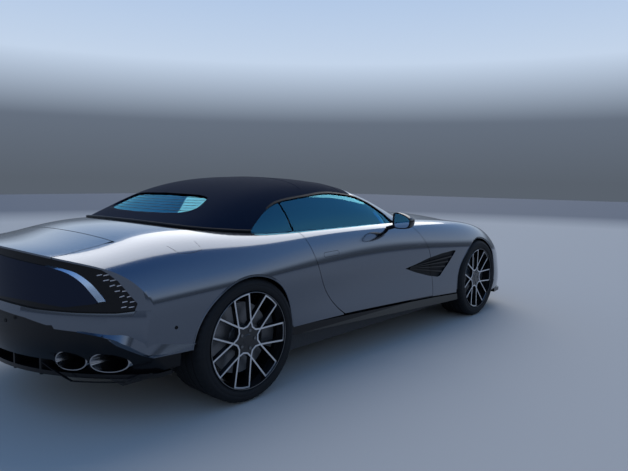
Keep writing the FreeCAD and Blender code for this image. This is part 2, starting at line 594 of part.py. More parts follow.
COWL = box((0, 1010), (-BONNET_SIDE[0][1] - BONNET_GAP, BONNET_SIDE[0][1] + BONNET_GAP), (600, 1100))
parts["cowl_panel"] = keep_big(rest.common(COWL).cut(cabin_outer))
FRONT_SPLIT = [(1905, 100), (1905, 520), (1960, 640), (2000, 790), (2000, 1200), (2600, 1200), (2600, 100)]
nose_zone = side_prism(FRONT_SPLIT, -BEYOND, BEYOND)
parts["front_fenders"] = keep_big(rest.cut(COWL).cut(nose_zone))
GRILLE = [(0, 240), (500, 240), (560, 330), (470, 440), (250, 500), (0, 500)]
grille_tool = front_prism(across(GRILLE), 1900, 2600)
parts["front_bumper"] = keep_big(rest.cut(COWL).common(nose_zone).cut(grille_tool))
SLAT_PITCH = 30
SLAT_HALF = 3
SLAT_HEIGHTS = range(262, 500, SLAT_PITCH)
SLAT_UPRIGHTS = (-360, -120, 120, 360)
slats = [box((2150, 2600), (-1000, 1000), (z - SLAT_HALF, z + SLAT_HALF)) for z in SLAT_HEIGHTS]
slats += [box((2150, 2600), (y - SLAT_HALF, y + SLAT_HALF), (0, 1000)) for y in SLAT_UPRIGHTS]
grille = vent_floor.cut(skin_solid(BODY_STATIONS, 2 * PANEL_WALL - VENT_DEPTH)).common(union(slats))
parts["front_grille"] = keep_big(grille.common(grille_tool))

# Bonnet hinges: each arm runs back from its eye, under the nose, and up to the bonnet
ARM = [(0, 11), (0, -11), (-176, -59), (-216, -59), (-216, 240), (-176, 240), (-176, -35)]
bonnet_pieces = [keep_big(bonnet)]
for y in (-BONNET_HINGE_Y, BONNET_HINGE_Y):
    ys = (y - EYE_WIDTH / 2, y + EYE_WIDTH / 2)
    hx, hz = BONNET_HINGE.x, BONNET_HINGE.z
    arm = side_prism([(hx + dx, hz + dz) for dx, dz in ARM], *ys).common(under_lip)
    bonnet_pieces += [hinge_disc(BONNET_HINGE + ACROSS * y, EYE_RADIUS, EYE_WIDTH / 2), arm]
bonnet = union(bonnet_pieces)
for y in (-BONNET_HINGE_Y, BONNET_HINGE_Y):
    bonnet = bonnet.cut(hinge_disc(BONNET_HINGE + ACROSS * y, PIN_RADIUS + PIN_PLAY, EYE_WIDTH))
parts["bonnet"] = bonnet

# Splitter and side skirts
SPLITTER = [(1975, 0), (1975, 925), (2120, 905), (2270, 800), (2370, 610), (2415, 350), (2422, 0)]
SILL_SECTION = [(787, 180), (787, 372), (918, 372), (925, 300), (955, 222), (950, 190), (900, 180)]
SILL_SIDE = [(-945, 302), (1128, 214), (1150, 262), (758, 284), (-426, 334), (-1004, 358)]
parts["front_splitter"] = plan_prism(plan_across(SPLITTER), 158, 190 - SEAT_GAP)
sill = front_prism(SILL_SECTION, -1200, 1200).common(side_prism(SILL_SIDE, 700, 1100))
parts["sills"] = both(sill.cut(arches))

# Chassis. Columns of both tables: group, x from and to, y from and to, z from and to. The paired
# ones are mirrored to the right side. Each group is a solid of its own, set against its neighbours.
CHASSIS_MIDDLE = [
    ("floor", -960, 1060, -700, 700, 140, 172),
    ("floor", -1900, -960, -560, 560, 140, 172),
    ("floor", -900, 1000, -130, 130, 170, 380),
    ("wall", 1000, 1040, -700, 700, 140, 840),
    ("wall", -960, -920, -700, 700, 170, 800),
    ("front", 2200, 2250, -480, 480, 260, 400),
    ("rear", -2030, -1990, -508, 508, 786, 810),
    ("rear", -1900, -1860, -560, 560, 172, 262),
    ("rear", -1420, -1260, -120, 120, 172, 200 - SEAT_GAP),
]
CHASSIS_PAIRED = [
    ("floor", -960, 1130, 695, 785, 150, 325),
    ("front", 1030, 2210, 380, 440, 270, 380),
    ("front", 1030, 1060, 380, 440, 160, 400),
    ("front", 2040, 2100, 385, 435, 190, 280),
    ("front", 1440, 1540, 360 + SEAT_GAP, 385, 300, 370),
    ("rear", -2000, -950, 420, 480, 290, 380),
    ("rear", -1980, -1940, 430, 470, 370, 560),
    ("rear", -1700, -1660, 430, 470, 370, 560),
    ("wall", 560, 760, 720, 785, 160, 800),
]
TUB_X, TUB_Y, TUB_Z, TUB_WALL = (-2225, -1560), 520.0, (560, 836), 12.0


def bracket(hinge, y, foot):
    """A hinge bracket beside an eye at y, from the points of its foot, with its pin."""
    inside = y - math.copysign(EYE_WIDTH / 2 + PIN_PLAY, y)
    far = y - math.copysign(EYE_WIDTH / 2 + 9, y)
    span = (min(inside, far), max(inside, far))
    plate = side_prism([(hinge.x - 10, hinge.z + 8), (hinge.x + 10, hinge.z + 8)] + foot, *span)
    tip = y + math.copysign(EYE_WIDTH / 2, y)
    return plate.fuse(rod(Vector(hinge.x, far, hinge.z), Vector(hinge.x, tip, hinge.z), PIN_RADIUS))


groups = {"floor": [], "wall": list(hinge_arms), "front": [], "rear": []}
groups["wall"] += [mirror(arm) for arm in hinge_arms]
for group, x0, x1, y0, y1, z0, z1 in CHASSIS_MIDDLE + CHASSIS_PAIRED:
    groups[group].append(box((x0, x1), (y0, y1), (z0, z1)))
for group, x0, x1, y0, y1, z0, z1 in CHASSIS_PAIRED:
    groups[group].append(box((x0, x1), (-y1, -y0), (z0, z1)))
for y in (-BOOT_HINGE_Y, BOOT_HINGE_Y):
    groups["rear"].append(bracket(BOOT_HINGE, y, [(-2000, 804), (-2020, 804)]))
for y in (-BONNET_HINGE_Y, BONNET_HINGE_Y):
    groups["front"].append(bracket(BONNET_HINGE, y, [(2250, 380), (2215, 380)]))
floor = union(groups["floor"])
walls = union(groups["wall"]).cut(floor)
rails = union(groups["front"] + groups["rear"]).cut(floor).cut(walls)
chassis = union([floor, walls, rails])
SHAFT_HOLE = 30.0
axle_line = [Vector(REAR_AXLE_X, y, TYRE_RADIUS) for y in (-500, 500)]
shaft_hole = rod(axle_line[0], axle_line[1], SHAFT_HOLE)
parts["bulkheads"] = keep_big(walls)
parts["chassis"] = Part.makeCompound(floor.Solids + keep_big(rails.cut(shaft_hole)).Solids)
parts["engine_block"] = box((1070, 1950), (-360, 360), (210, 700))

# Boot tub, an open box on the rails
tub = box(TUB_X, (-TUB_Y, TUB_Y), TUB_Z)
hollow = box((TUB_X[0] + TUB_WALL, TUB_X[1] - TUB_WALL), (TUB_WALL - TUB_Y, TUB_Y - TUB_WALL),
             (TUB_Z[0] + TUB_WALL, TUB_Z[1] + 1))
parts["boot_tub"] = tub.cut(hollow).cut(shut_ring).common(deep).cut(chassis)

# Seats: cushion, backrest and bolsters from side profiles, and a headrest. Columns: x and z.
CUSHION = [(-660, 172), (-660, 330), (-600, 350), (-380, 352), (-180, 392), (-120, 385), (-96, 350),
           (-110, 172)]
BACKREST = [(-640, 300), (-590, 360), (-700, 700), (-760, 880), (-800, 905), (-840, 895), (-850, 860),
            (-760, 400), (-730, 172), (-660, 172)]
HEADREST = [(-790, 880), (-745, 890), (-765, 1010), (-800, 1030), (-845, 1020), (-850, 890)]
BOLSTER = [(-630, 300), (-540, 380), (-640, 690), (-715, 820), (-760, 800), (-720, 500), (-690, 300)]
THIGH = [(-560, 300), (-540, 400), (-380, 410), (-170, 432), (-120, 400), (-110, 300)]
SEAT_Y = (170.0, 660.0)
BOLSTER_WIDTH = 75.0
seat_pieces = [side_prism(CUSHION, *SEAT_Y), side_prism(BACKREST, *SEAT_Y)]
for y in (SEAT_Y[0], SEAT_Y[1] - BOLSTER_WIDTH):
    seat_pieces.append(side_prism(BOLSTER, y, y + BOLSTER_WIDTH))
    seat_pieces.append(side_prism(THIGH, y, y + BOLSTER_WIDTH))
headrest = side_prism(HEADREST, 305, 525)
parts["seats"] = both(union(seat_pieces + [headrest]))

# Dashboard, console and steering wheel
DASH = [(300, 700), (330, 790), (420, 850), (560, 868), (1000 - SEAT_GAP, 868), (1000 - SEAT_GAP, 560),
        (420, 560), (350, 600)]
HOOD = [(330, 780), (355, 858), (430, 884), (560, 860), (560, 780)]
CONSOLE = [(-520, 380), (-540, 560), (-300, 590), (60, 575), (299, 640), (299, 380)]
wheel_centre = Vector(40, 380, 730)
column = Vector(-0.94, 0, 0.342)
WHEEL_RING = 178.0
dash = side_prism(DASH, -690, 690).fuse(side_prism(HOOD, 210, 550)).cut(cabin_outer.cut(cabin_inner))
parts["centre_console"] = side_prism(CONSOLE, -120, 120)
bar = box((-9, 9), (-WHEEL_RING, WHEEL_RING), (-14, 14))
spoke = box((-9, 9), (-14, 14), (-WHEEL_RING, 0))
wheel_bars = bar.fuse(spoke)
wheel_bars.rotate(Vector(0, 0, 0), ACROSS, 20)
wheel_bars.translate(wheel_centre)
shaft = rod(wheel_centre - column * 330, wheel_centre, 16)
ring = Part.makeTorus(WHEEL_RING, 15, wheel_centre, column)
hub = rod(wheel_centre - column * 20, wheel_centre + column * 20, 60)
parts["steering_wheel"] = union([ring, wheel_bars, shaft, hub])
parts["dashboard"] = dash.cut(rod(wheel_centre - column * 345, wheel_centre, 16 + SEAT_GAP))

# Mirrors on the doors. Columns: x, half width and half height of each section.
MIRROR_SECTIONS = [(48, 92, 58), (80, 96, 62), (140, 84, 54), (185, 52, 36)]
MIRROR_Y, MIRROR_Z = 998.0, 968.0
mirror_wires = []
for x, half_y, half_z in MIRROR_SECTIONS:
    ellipse = Part.Ellipse(Vector(x, MIRROR_Y, MIRROR_Z), half_y, half_z)
    ellipse.Axis = ALONG
    ellipse.XAxis = ACROSS
    mirror_wires.append(Part.Wire(ellipse.toShape()))
stalk = rod(Vector(130, 845, 900), Vector(110, MIRROR_Y - 35, 955), 18)
parts["mirror_left"] = Part.makeLoft(mirror_wires, True).fuse(stalk).cut(parts["door_left"])
parts["mirror_right"] = mirror(parts["mirror_left"])


# Wheels
def ring_of(axle_x, section):
    """A ring turned about a wheel's axis from a closed polygon of (radius, y) points."""
    points = [Vector(axle_x, y, TYRE_RADIUS + r) for r, y in section]
    return turned(points, Vector(axle_x, 0, TYRE_RADIUS), ACROSS)


def tyre(axle_x, face_y, width):
    """A tyre as one turned ring; its outer face is at face_y."""
    back_y = face_y - width
    bead = FLANGE_RADIUS - BEAD_DEPTH
    return ring_of(axle_x, [
        (bead, face_y - 14), (FLANGE_RADIUS + 18, face_y), (TYRE_RADIUS - TYRE_SHOULDER, face_y - 2),
        (TYRE_RADIUS - 8, face_y - 14), (TYRE_RADIUS, face_y - 38), (TYRE_RADIUS, back_y + 38),
        (TYRE_RADIUS - 8, back_y + 14), (TYRE_RADIUS - TYRE_SHOULDER, back_y + 2),
        (FLANGE_RADIUS + 18, back_y), (bead, back_y + 14),
    ])


# Openings of one seventh of a wheel's face. Columns: share of the flange radius, and degrees from
# the middle of the loop.
LOOP_OPENING = [(0.955, -11.5), (0.975, 0.0), (0.955, 11.5), (0.38, 25.7), (0.275, 11.3), (0.275, -11.3),
                (0.38, -25.7)]
FORK_OPENING = [(0.38, 25.7), (0.915, 11.9), (0.955, 25.7), (0.915, 39.5)]


def face_opening(outline, turn):
    """A prism through a wheel's face over an outline of polar points, made smaller by half a spoke."""
    points = []
    for share, degrees in outline:
        a = math.radians(degrees + turn)
        points.append(Vector(share * FLANGE_RADIUS * math.cos(a), 0, share * FLANGE_RADIUS * math.sin(a)))
    return polygon_face(points).makeOffset2D(-SPOKE_WIDTH / 2).extrude(ACROSS * FLANGE_RADIUS)


def rim(axle_x, face_y, width):
    """A rim: barrel, dished face with seven loops, hub and brake disc."""
    back_y = face_y - width
    r = FLANGE_RADIUS - BEAD_DEPTH - SEAT_GAP
    barrel_in = r - BARREL_WALL
    barrel = ring_of(axle_x, [(r, face_y - 14), (r, face_y - 6), (barrel_in, face_y - 6),
                              (barrel_in, back_y + 14), (r, back_y + 14)])
    face = ring_of(axle_x, [(0, face_y - 58), (HUB_RADIUS, face_y - 58), (barrel_in, face_y - 34),
                            (barrel_in, face_y - 12), (HUB_RADIUS, face_y - 32), (0, face_y - 26)])
    cutters = []
    for k in range(LOOP_COUNT):
        for outline in (LOOP_OPENING, FORK_OPENING):
            cutter = face_opening(outline, k * 360.0 / LOOP_COUNT)
            cutter.translate(Vector(axle_x, face_y - DISC_SETBACK, TYRE_RADIUS))
            cutters.append(cutter)
    face = face.cut(Part.makeCompound(cutters))
    hub = wheel_cylinder(axle_x, HUB_RADIUS, face_y - DISC_SETBACK, face_y - 50)
    disc = wheel_cylinder(axle_x, DISC_RADIUS, face_y - DISC_SETBACK - DISC_THICKNESS, face_y - DISC_SETBACK)
    return union([barrel, face, hub, disc])


# Columns: name, axle, outer face, width and side.
WHEELS = [
    ("front_left", FRONT_AXLE_X, FRONT_WHEEL_FACE_Y, FRONT_TYRE_WIDTH, 1),
    ("front_right", FRONT_AXLE_X, FRONT_WHEEL_FACE_Y, FRONT_TYRE_WIDTH, -1),
    ("rear_left", REAR_AXLE_X, REAR_WHEEL_FACE_Y, REAR_TYRE_WIDTH, 1),
    ("rear_right", REAR_AXLE_X, REAR_WHEEL_FACE_Y, REAR_TYRE_WIDTH, -1),
]
for name, axle_x, face_y, width, side in WHEELS:
    t, w = tyre(axle_x, face_y, width), rim(axle_x, face_y, width)
    parts["tyre_" + name] = t if side > 0 else mirror(t)
    parts["rim_" + name] = w if side > 0 else mirror(w)

# Knuckles with their king pins, suspension and calipers
POST_HALF = 190.0
POST_RADIUS = 22.0
PIN_REACH = 18.0
SOCKET_RADIUS = 26.0
POST_SETBACK = 46.0
CALIPER_RADII = (150.0, 245.0)


def carrier(axle_x, face_y):
    """A wheel carrier with its post, caliper and steering arm; and the y of its post."""
    back = face_y - DISC_SETBACK - DISC_THICKNESS
    post_y = back - POST_SETBACK
    low, high = TYRE_RADIUS - POST_HALF, TYRE_RADIUS + POST_HALF
    hub = wheel_cylinder(axle_x, 62, back - 70, back - SEAT_GAP)
    post = rod(Vector(axle_x, post_y, low), Vector(axle_x, post_y, high), POST_RADIUS)
    band = wheel_cylinder(axle_x, CALIPER_RADII[1], back - 22, back + DISC_THICKNESS + 22)
    band = band.cut(wheel_cylinder(axle_x, CALIPER_RADII[0], back - 40, back + DISC_THICKNESS + 40))
    band = band.cut(wheel_cylinder(axle_x, DISC_RADIUS + 6, back - 4, back + DISC_THICKNESS + 4))
    wedge = [(axle_x, TYRE_RADIUS), (axle_x + 400, TYRE_RADIUS - 180), (axle_x + 400, TYRE_RADIUS + 180)]
    caliper = band.common(side_prism(wedge, 0, BEYOND))
    arm = box((axle_x + 20, axle_x + 200), (back - 60, back - 22), (TYRE_RADIUS - 40, TYRE_RADIUS + 40))
    return union([hub, post, caliper, arm]), post_y


knuckle, king_y = carrier(FRONT_AXLE_X, FRONT_WHEEL_FACE_Y)
king_low = Vector(FRONT_AXLE_X, king_y, TYRE_RADIUS - POST_HALF)
king_high = Vector(FRONT_AXLE_X, king_y, TYRE_RADIUS + POST_HALF)
king_pin = rod(king_low - UP * PIN_REACH, king_high + UP * PIN_REACH, KING_PIN_RADIUS)
parts["knuckle_left"] = knuckle.fuse(king_pin)
parts["knuckle_right"] = mirror(parts["knuckle_left"])

front_arms = []
for end, direction, z_rail in ((king_low, -1, 300), (king_high, 1, 520)):
    socket = rod(end + UP * direction * SEAT_GAP, end + UP * direction * 50, SOCKET_RADIUS)
    middle = end + UP * direction * 32
    for dx in (-150, 150):
        front_arms.append(rod(middle, Vector(FRONT_AXLE_X + dx, 430, z_rail), 14))
    front_arms.append(socket)
TOWER_HALF = 180.0
RAIL_TOP = 380.0
tower = box((FRONT_AXLE_X - TOWER_HALF, FRONT_AXLE_X + TOWER_HALF), (381, 439), (RAIL_TOP, 560))
front_set = union(front_arms + [tower])
bore = rod(king_low - UP * (PIN_REACH + 2), king_high + UP * (PIN_REACH + 2), KING_PIN_RADIUS + PIN_PLAY)
parts["suspension_front"] = both(keep_big(front_set.cut(chassis).cut(bore)))

rear_carrier, post_y = carrier(REAR_AXLE_X, REAR_WHEEL_FACE_Y)
rear_arms = [rear_carrier]
for z, z_rail in ((210, 330), (520, 480)):
    for dx in (-140, 140):
        rear_arms.append(rod(Vector(REAR_AXLE_X, post_y, z), Vector(REAR_AXLE_X + dx, 470, z_rail), 14))
hub_centre = Vector(REAR_AXLE_X, post_y, TYRE_RADIUS)
rear_arms.append(rod(hub_centre, Vector(REAR_AXLE_X, 200, TYRE_RADIUS), 20))
rear_arms.append(box((REAR_AXLE_X - TOWER_HALF, REAR_AXLE_X + TOWER_HALF), (421, 479), (RAIL_TOP, 520)))
parts["suspension_rear"] = both(keep_big(union(rear_arms).cut(chassis.cut(shaft_hole))))
gearbox = box((REAR_AXLE_X - 200, REAR_AXLE_X + 260), (-220, 220), (200, 500))
parts["transaxle"] = gearbox.cut(parts["suspension_rear"])

# Wheel liners. Columns: axle, inner and outer edge.
liners = []
for axle_x, y_in, y_out in ((FRONT_AXLE_X, 470, 905), (REAR_AXLE_X, 560, 930)):
    band = wheel_cylinder(axle_x, LINER_RADIUS + LINER_WALL, y_in, y_out)
    band = band.cut(wheel_cylinder(axle_x, LINER_RADIUS, y_in - 1, y_out + 1))
    upper_half = box((axle_x - 500, axle_x + 500), (0, BEYOND), (TYRE_RADIUS + 40, BEYOND))
    liners.append(band.common(upper_half).common(inner))
liner = Part.makeCompound(liners).cut(chassis).cut(parts["engine_block"])
parts["wheel_liners"] = both(keep_big(liner))

os.makedirs("parts", exist_ok=True)
for name, shape in parts.items():
    solids = shape.Solids
    whole = solids[0] if len(solids) == 1 else Part.makeCompound(solids)
    print(name, len(solids), round(whole.Volume / 1e6, 2), whole.isValid())
    whole.exportStep("parts/" + name + ".step")
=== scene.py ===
import json
import math

import bmesh
import bpy
import numpy as np
from mathutils import Matrix, Vector
from mathutils.bvhtree import BVHTree


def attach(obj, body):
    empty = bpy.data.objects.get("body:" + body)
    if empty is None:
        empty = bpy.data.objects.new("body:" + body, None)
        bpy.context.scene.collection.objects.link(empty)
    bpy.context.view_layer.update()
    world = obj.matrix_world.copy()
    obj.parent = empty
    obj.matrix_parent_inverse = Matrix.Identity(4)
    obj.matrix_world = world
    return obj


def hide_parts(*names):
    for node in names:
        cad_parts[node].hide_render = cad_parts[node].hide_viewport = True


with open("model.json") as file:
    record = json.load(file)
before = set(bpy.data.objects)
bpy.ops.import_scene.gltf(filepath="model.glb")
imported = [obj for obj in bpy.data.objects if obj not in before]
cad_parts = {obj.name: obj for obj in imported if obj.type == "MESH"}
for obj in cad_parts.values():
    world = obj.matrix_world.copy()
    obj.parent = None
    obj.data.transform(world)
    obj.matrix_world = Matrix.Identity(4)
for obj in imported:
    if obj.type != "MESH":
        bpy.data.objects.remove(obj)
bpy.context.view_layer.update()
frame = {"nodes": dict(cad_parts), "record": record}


# Materials


def shader(name, colour, roughness, metallic=0.0, **sockets):
    """A material with plain values on its principled shader; returns the material and its nodes."""
    material = bpy.data.materials.new(name)
    material.use_nodes = True
    tree = material.node_tree
    bsdf = tree.nodes["Principled BSDF"]
    bsdf.inputs["Base Color"].default_value = (*colour, 1.0)
    bsdf.inputs["Roughness"].default_value = roughness
    bsdf.inputs["Metallic"].default_value = metallic
    for socket, value in sockets.items():
        bsdf.inputs[socket.replace("_", " ")].default_value = value
    return material, tree, bsdf


def vary(tree, bsdf, factor, dark, light):
    """Mixes the base colour between two near colours by an output."""
    ramp = tree.nodes.new("ShaderNodeValToRGB")
    for element, colour, position in zip(ramp.color_ramp.elements, (dark, light), (0.3, 0.7)):
        element.color = (*colour, 1.0)
        element.position = position
    tree.links.new(factor, ramp.inputs["Fac"])
    tree.links.new(ramp.outputs["Color"], bsdf.inputs["Base Color"])


def grained(name, colour, roughness, metallic, scale, contrast, strength=0.0, distance=0.0005, **sockets):
    """A material with a fine colour variation and, where strength is set, a fine bump."""
    material, tree, bsdf = shader(name, colour, roughness, metallic, **sockets)
    place = tree.nodes.new("ShaderNodeTexCoord")
    noise = tree.nodes.new("ShaderNodeTexNoise")
    noise.inputs["Scale"].default_value = scale
    noise.inputs["Detail"].default_value = 4.0
    tree.links.new(place.outputs["Object"], noise.inputs["Vector"])
    dark, light = ([c * k for c in colour] for k in (1 - contrast, 1 + contrast))
    vary(tree, bsdf, noise.outputs["Fac"], dark, light)
    if strength:
        node = tree.nodes.new("ShaderNodeBump")
        node.inputs["Strength"].default_value = strength
        node.inputs["Distance"].default_value = distance
        tree.links.new(noise.outputs["Fac"], node.inputs["Height"])
        tree.links.new(node.outputs["Normal"], bsdf.inputs["Normal"])
    return material


BY_SLOT = {}


def slotted(name, *values, **sockets):
    """The material of a slot, with grained()'s values."""
    BY_SLOT[name] = grained(name, *values, **sockets)


slotted("body_paint", (0.125, 0.145, 0.18), 0.16, 1.0, 900, 0.10, Coat_Weight=1.0, Coat_Roughness=0.03)
# The soft top's fabric is dark; its blue tint is painted sky light.
slotted("top_fabric", (0.003, 0.010, 0.026), 0.9, 0.0, 700, 0.25, 0.5, 0.0006, Specular_IOR_Level=0.1)
slotted("gloss_black", (0.003, 0.003, 0.004), 0.08, 0.0, 40, 0.15, Specular_IOR_Level=0.3)
slotted("satin_black", (0.006, 0.006, 0.007), 0.5, 0.0, 250, 0.2, 0.15, Specular_IOR_Level=0.2)
slotted("dark_chrome", (0.35, 0.35, 0.36), 0.18, 1.0, 60, 0.08)
slotted("red_lens", (0.20, 0.006, 0.006), 0.08, 0.0, 60, 0.1, Coat_Weight=1.0)
slotted("clear_lens", (0.65, 0.68, 0.70), 0.05, 0.0, 60, 0.05, Coat_Weight=1.0)
slotted("chassis_grey", (0.05, 0.05, 0.053), 0.6, 0.3, 120, 0.2, 0.1)
slotted("cast_alloy", (0.12, 0.12, 0.125), 0.45, 0.8, 180, 0.12, 0.2)
slotted("hide", (0.03, 0.04, 0.07), 0.55, 0.0, 260, 0.2, 0.3)
slotted("tyre", (0.010, 0.010, 0.011), 0.7, 0.0, 220, 0.2, 0.1, Specular_IOR_Level=0.25)
slotted("wheel_black", (0.012, 0.012, 0.013), 0.2, 0.4, 80, 0.15, Coat_Weight=0.6)


def tinted_glass(name, tint):
    """Thin coated glass: mostly clear, with a blue mirror that grows at low angles."""
    material = bpy.data.materials.new(name)
    material.use_nodes = True
    tree = material.node_tree
    tree.nodes.clear()
    output, clear, gloss, fresnel, mix = (tree.nodes.new("ShaderNode" + kind) for kind in (
        "OutputMaterial", "BsdfTransparent", "BsdfGlossy", "Fresnel", "MixShader"))
    clear.inputs["Color"].default_value = (*tint, 1.0)
    gloss.inputs["Roughness"].default_value = 0.02
    gloss.inputs["Color"].default_value = (0.25, 0.78, 1.0, 1.0)
    fresnel.inputs["IOR"].default_value = 2.3
    tree.links.new(fresnel.outputs["Fac"], mix.inputs["Fac"])
    tree.links.new(clear.outputs["BSDF"], mix.inputs[1])
    tree.links.new(gloss.outputs["BSDF"], mix.inputs[2])
    tree.links.new(mix.outputs["Shader"], output.inputs["Surface"])
    return material


MACHINED = grained("machined_edge", (0.72, 0.73, 0.75), 0.28, 1.0, 300, 0.06)
IRON = grained("brake_iron", (0.18, 0.18, 0.185), 0.38, 0.9, 200, 0.15)
# A darker copy of the body paint for the tail's raised panel: painted shade.
SHADED_BODY_PAINT = grained("painted_shade_body_paint", (0.008, 0.014, 0.034), 0.12, 0.8, 900, 0.08, Coat_Weight=0.15,
                     Coat_Roughness=0.03)
# Lighter, bluer body paint for the tail panel's bevel: a painted reflection of the sky.
SKY_REFLECTION_PAINT = grained("painted_sky_reflection", (0.42, 0.52, 0.66), 0.16, 0.9, 500, 0.05, Coat_Weight=1.0)
# Pale grey: on the tail lamps' dashes a painted glint on unlit red lamps, on the headlamps' daylight strips
# the strips' own colour.
PALE_LENS_AND_GLINT = grained("pale_lens_and_painted_glint", (0.55, 0.50, 0.50), 0.15, 0.0, 60, 0.05, Coat_Weight=1.0)
SATIN_DARK = grained("diffuser_black", (0.004, 0.004, 0.005), 0.25, 0.0, 120, 0.15, Specular_IOR_Level=0.3)
MIRROR = grained("mirror_plate", (0.75, 0.77, 0.80), 0.05, 1.0, 60, 0.02)
BY_SLOT["glass"] = tinted_glass("glass", (0.84, 0.92, 0.96))
CLEAR_GLASS = tinted_glass("lamp_glass", (0.92, 0.94, 0.95))
for part in frame["record"]["subparts"]:
    solid = frame["nodes"][part["node"]].data
    solid.materials.clear()
    solid.materials.append(BY_SLOT[part["material_slot"]])
    solid.shade_smooth()
    solid.set_sharp_from_angle(angle=math.radians(30))


# Solids. Lengths in the tables are in millimetres, as in the part's source; meshes are in metres.
MM = 0.001
BEYOND = 1300.0
WIDE = (-BEYOND, BEYOND)
REAR_END, FRONT_END = -2600, 2600
DECK = (760, 1100)
TYRE_RADIUS = 357.0
FRONT_AXLE_X, REAR_AXLE_X = 1545.0, -1340.0
TAIL_X, NOSE_X = -2425.0, 2425.0
TAIL_AXIS_X = -1250.0
TAIL_RADIUS = TAIL_AXIS_X - TAIL_X
TAIL_PROFILE = [
    (TAIL_RADIUS - 135, 100), (TAIL_RADIUS - 90, 285), (TAIL_RADIUS - 25, 400),
    (TAIL_RADIUS - 2, 480), (TAIL_RADIUS - 2, 600), (TAIL_RADIUS - 8, 628), (TAIL_RADIUS, 880),
    (TAIL_RADIUS, 1100),
]
TAIL_BAND = (600, 960)
PANEL_WALL = 28.0
PANEL_GAP = 5.0
SKIRT = 60.0
# Columns: x, then y and z of each control point from the sill up, then the height on the middle line.
BODY_STATIONS = [
    (-2600, 740, 190, 780, 320, 810, 455, 840, 560, 840, 650, 768, 776, 570, 896, 300, 936, 942),
    (-2350, 800, 190, 835, 320, 860, 455, 885, 570, 885, 660, 808, 802, 590, 884, 310, 920, 926),
    (-2100, 855, 190, 885, 320, 900, 458, 918, 585, 920, 672, 845, 832, 625, 888, 320, 922, 934),
    (-1850, 900, 190, 925, 318, 935, 462, 952, 598, 960, 695, 872, 878, 655, 952, 330, 976, 986),
    (-1600, 925, 190, 945, 315, 958, 468, 980, 608, 992, 716, 894, 905, 685, 982, 340, 1003, 1008),
    (-1340, 930, 190, 950, 312, 965, 470, 988, 612, 1006, 728, 905, 914, 700, 978, 345, 1000, 1004),
    (-1050, 920, 190, 940, 310, 942, 472, 966, 612, 990, 734, 895, 920, 720, 958, 350, 968, 970),
    (-720, 910, 190, 928, 308, 912, 472, 935, 610, 956, 740, 876, 926, 735, 950, 355, 958, 960),
    (-350, 904, 190, 920, 306, 897, 470, 914, 608, 934, 744, 868, 928, 740, 950, 355, 955, 958),
    (50, 902, 190, 918, 304, 892, 468, 906, 605, 926, 742, 866, 926, 735, 948, 355, 955, 958),
    (450, 903, 190, 920, 302, 896, 465, 911, 602, 933, 738, 864, 924, 722, 942, 355, 960, 965),
    (800, 906, 190, 926, 300, 908, 462, 926, 598, 949, 730, 862, 924, 700, 936, 350, 975, 975),
    (1150, 912, 190, 935, 298, 926, 458, 945, 590, 968, 718, 862, 918, 680, 914, 345, 970, 972),
    (1450, 922, 190, 945, 294, 944, 450, 958, 578, 977, 704, 862, 902, 665, 884, 335, 938, 944),
    (1720, 930, 190, 952, 290, 952, 436, 958, 555, 968, 676, 848, 864, 640, 850, 320, 900, 904),
    (1950, 925, 190, 942, 285, 938, 415, 932, 525, 932, 632, 808, 796, 595, 800, 300, 846, 850),
    (2130, 890, 190, 905, 280, 896, 392, 882, 490, 870, 578, 745, 722, 540, 742, 275, 780, 785),
    (2270, 815, 190, 828, 276, 815, 370, 795, 455, 775, 528, 655, 642, 470, 668, 240, 700, 705),
    (2360, 700, 190, 712, 274, 700, 352, 680, 425, 655, 488, 550, 570, 395, 598, 205, 620, 625),
    (2410, 545, 190, 552, 276, 542, 342, 528, 402, 505, 455, 430, 515, 310, 540, 165, 555, 560),
    (NOSE_X, 385, 190, 390, 285, 384, 335, 372, 382, 355, 425, 305, 468, 225, 488, 120, 500, 503),
]
CABIN_STATIONS = [
    (-1700, 560, 840, 550, 870, 520, 900, 470, 925, 385, 945, 210, 962, 966),
    (-1560, 690, 870, 676, 912, 648, 942, 590, 970, 490, 994, 255, 1018, 1024),
    (-1380, 760, 880, 735, 932, 696, 976, 636, 1022, 528, 1066, 275, 1102, 1108),
    (-1150, 800, 890, 768, 955, 722, 1030, 658, 1106, 548, 1166, 287, 1206, 1212),
    (-880, 820, 895, 780, 985, 722, 1077, 647, 1164, 540, 1230, 285, 1270, 1276),
    (-520, 822, 895, 775, 995, 712, 1092, 632, 1186, 528, 1252, 278, 1286, 1290),
    (-150, 818, 895, 768, 990, 704, 1082, 624, 1172, 520, 1232, 272, 1264, 1269),
    (150, 808, 895, 760, 972, 700, 1046, 622, 1118, 516, 1176, 270, 1214, 1220),
    (400, 785, 895, 745, 942, 690, 992, 618, 1044, 512, 1088, 268, 1124, 1130),
    (620, 740, 888, 708, 914, 660, 940, 592, 972, 490, 1002, 256, 1026, 1032),
    (820, 655, 870, 630, 890, 590, 908, 528, 926, 436, 942, 230, 956, 960),
    (960, 520, 830, 500, 845, 468, 855, 418, 865, 345, 874, 182, 880, 882),
]


def as_mesh(points, faces):
    """A mesh from points in millimetres, its faces turned outwards."""
    mesh = bpy.data.meshes.new("solid")
    mesh.from_pydata((np.asarray(points, float) * MM).tolist(), [], faces)
    bm = bmesh.new()
    bm.from_mesh(mesh)
    bmesh.ops.recalc_face_normals(bm, faces=bm.faces)
    bm.to_mesh(mesh)
    bm.free()
    return mesh


def circle(count):
    """Cosine and sine at even steps round a circle."""
    turns = [2 * math.pi * i / count for i in range(count)]
    return [(math.cos(t), math.sin(t)) for t in turns]


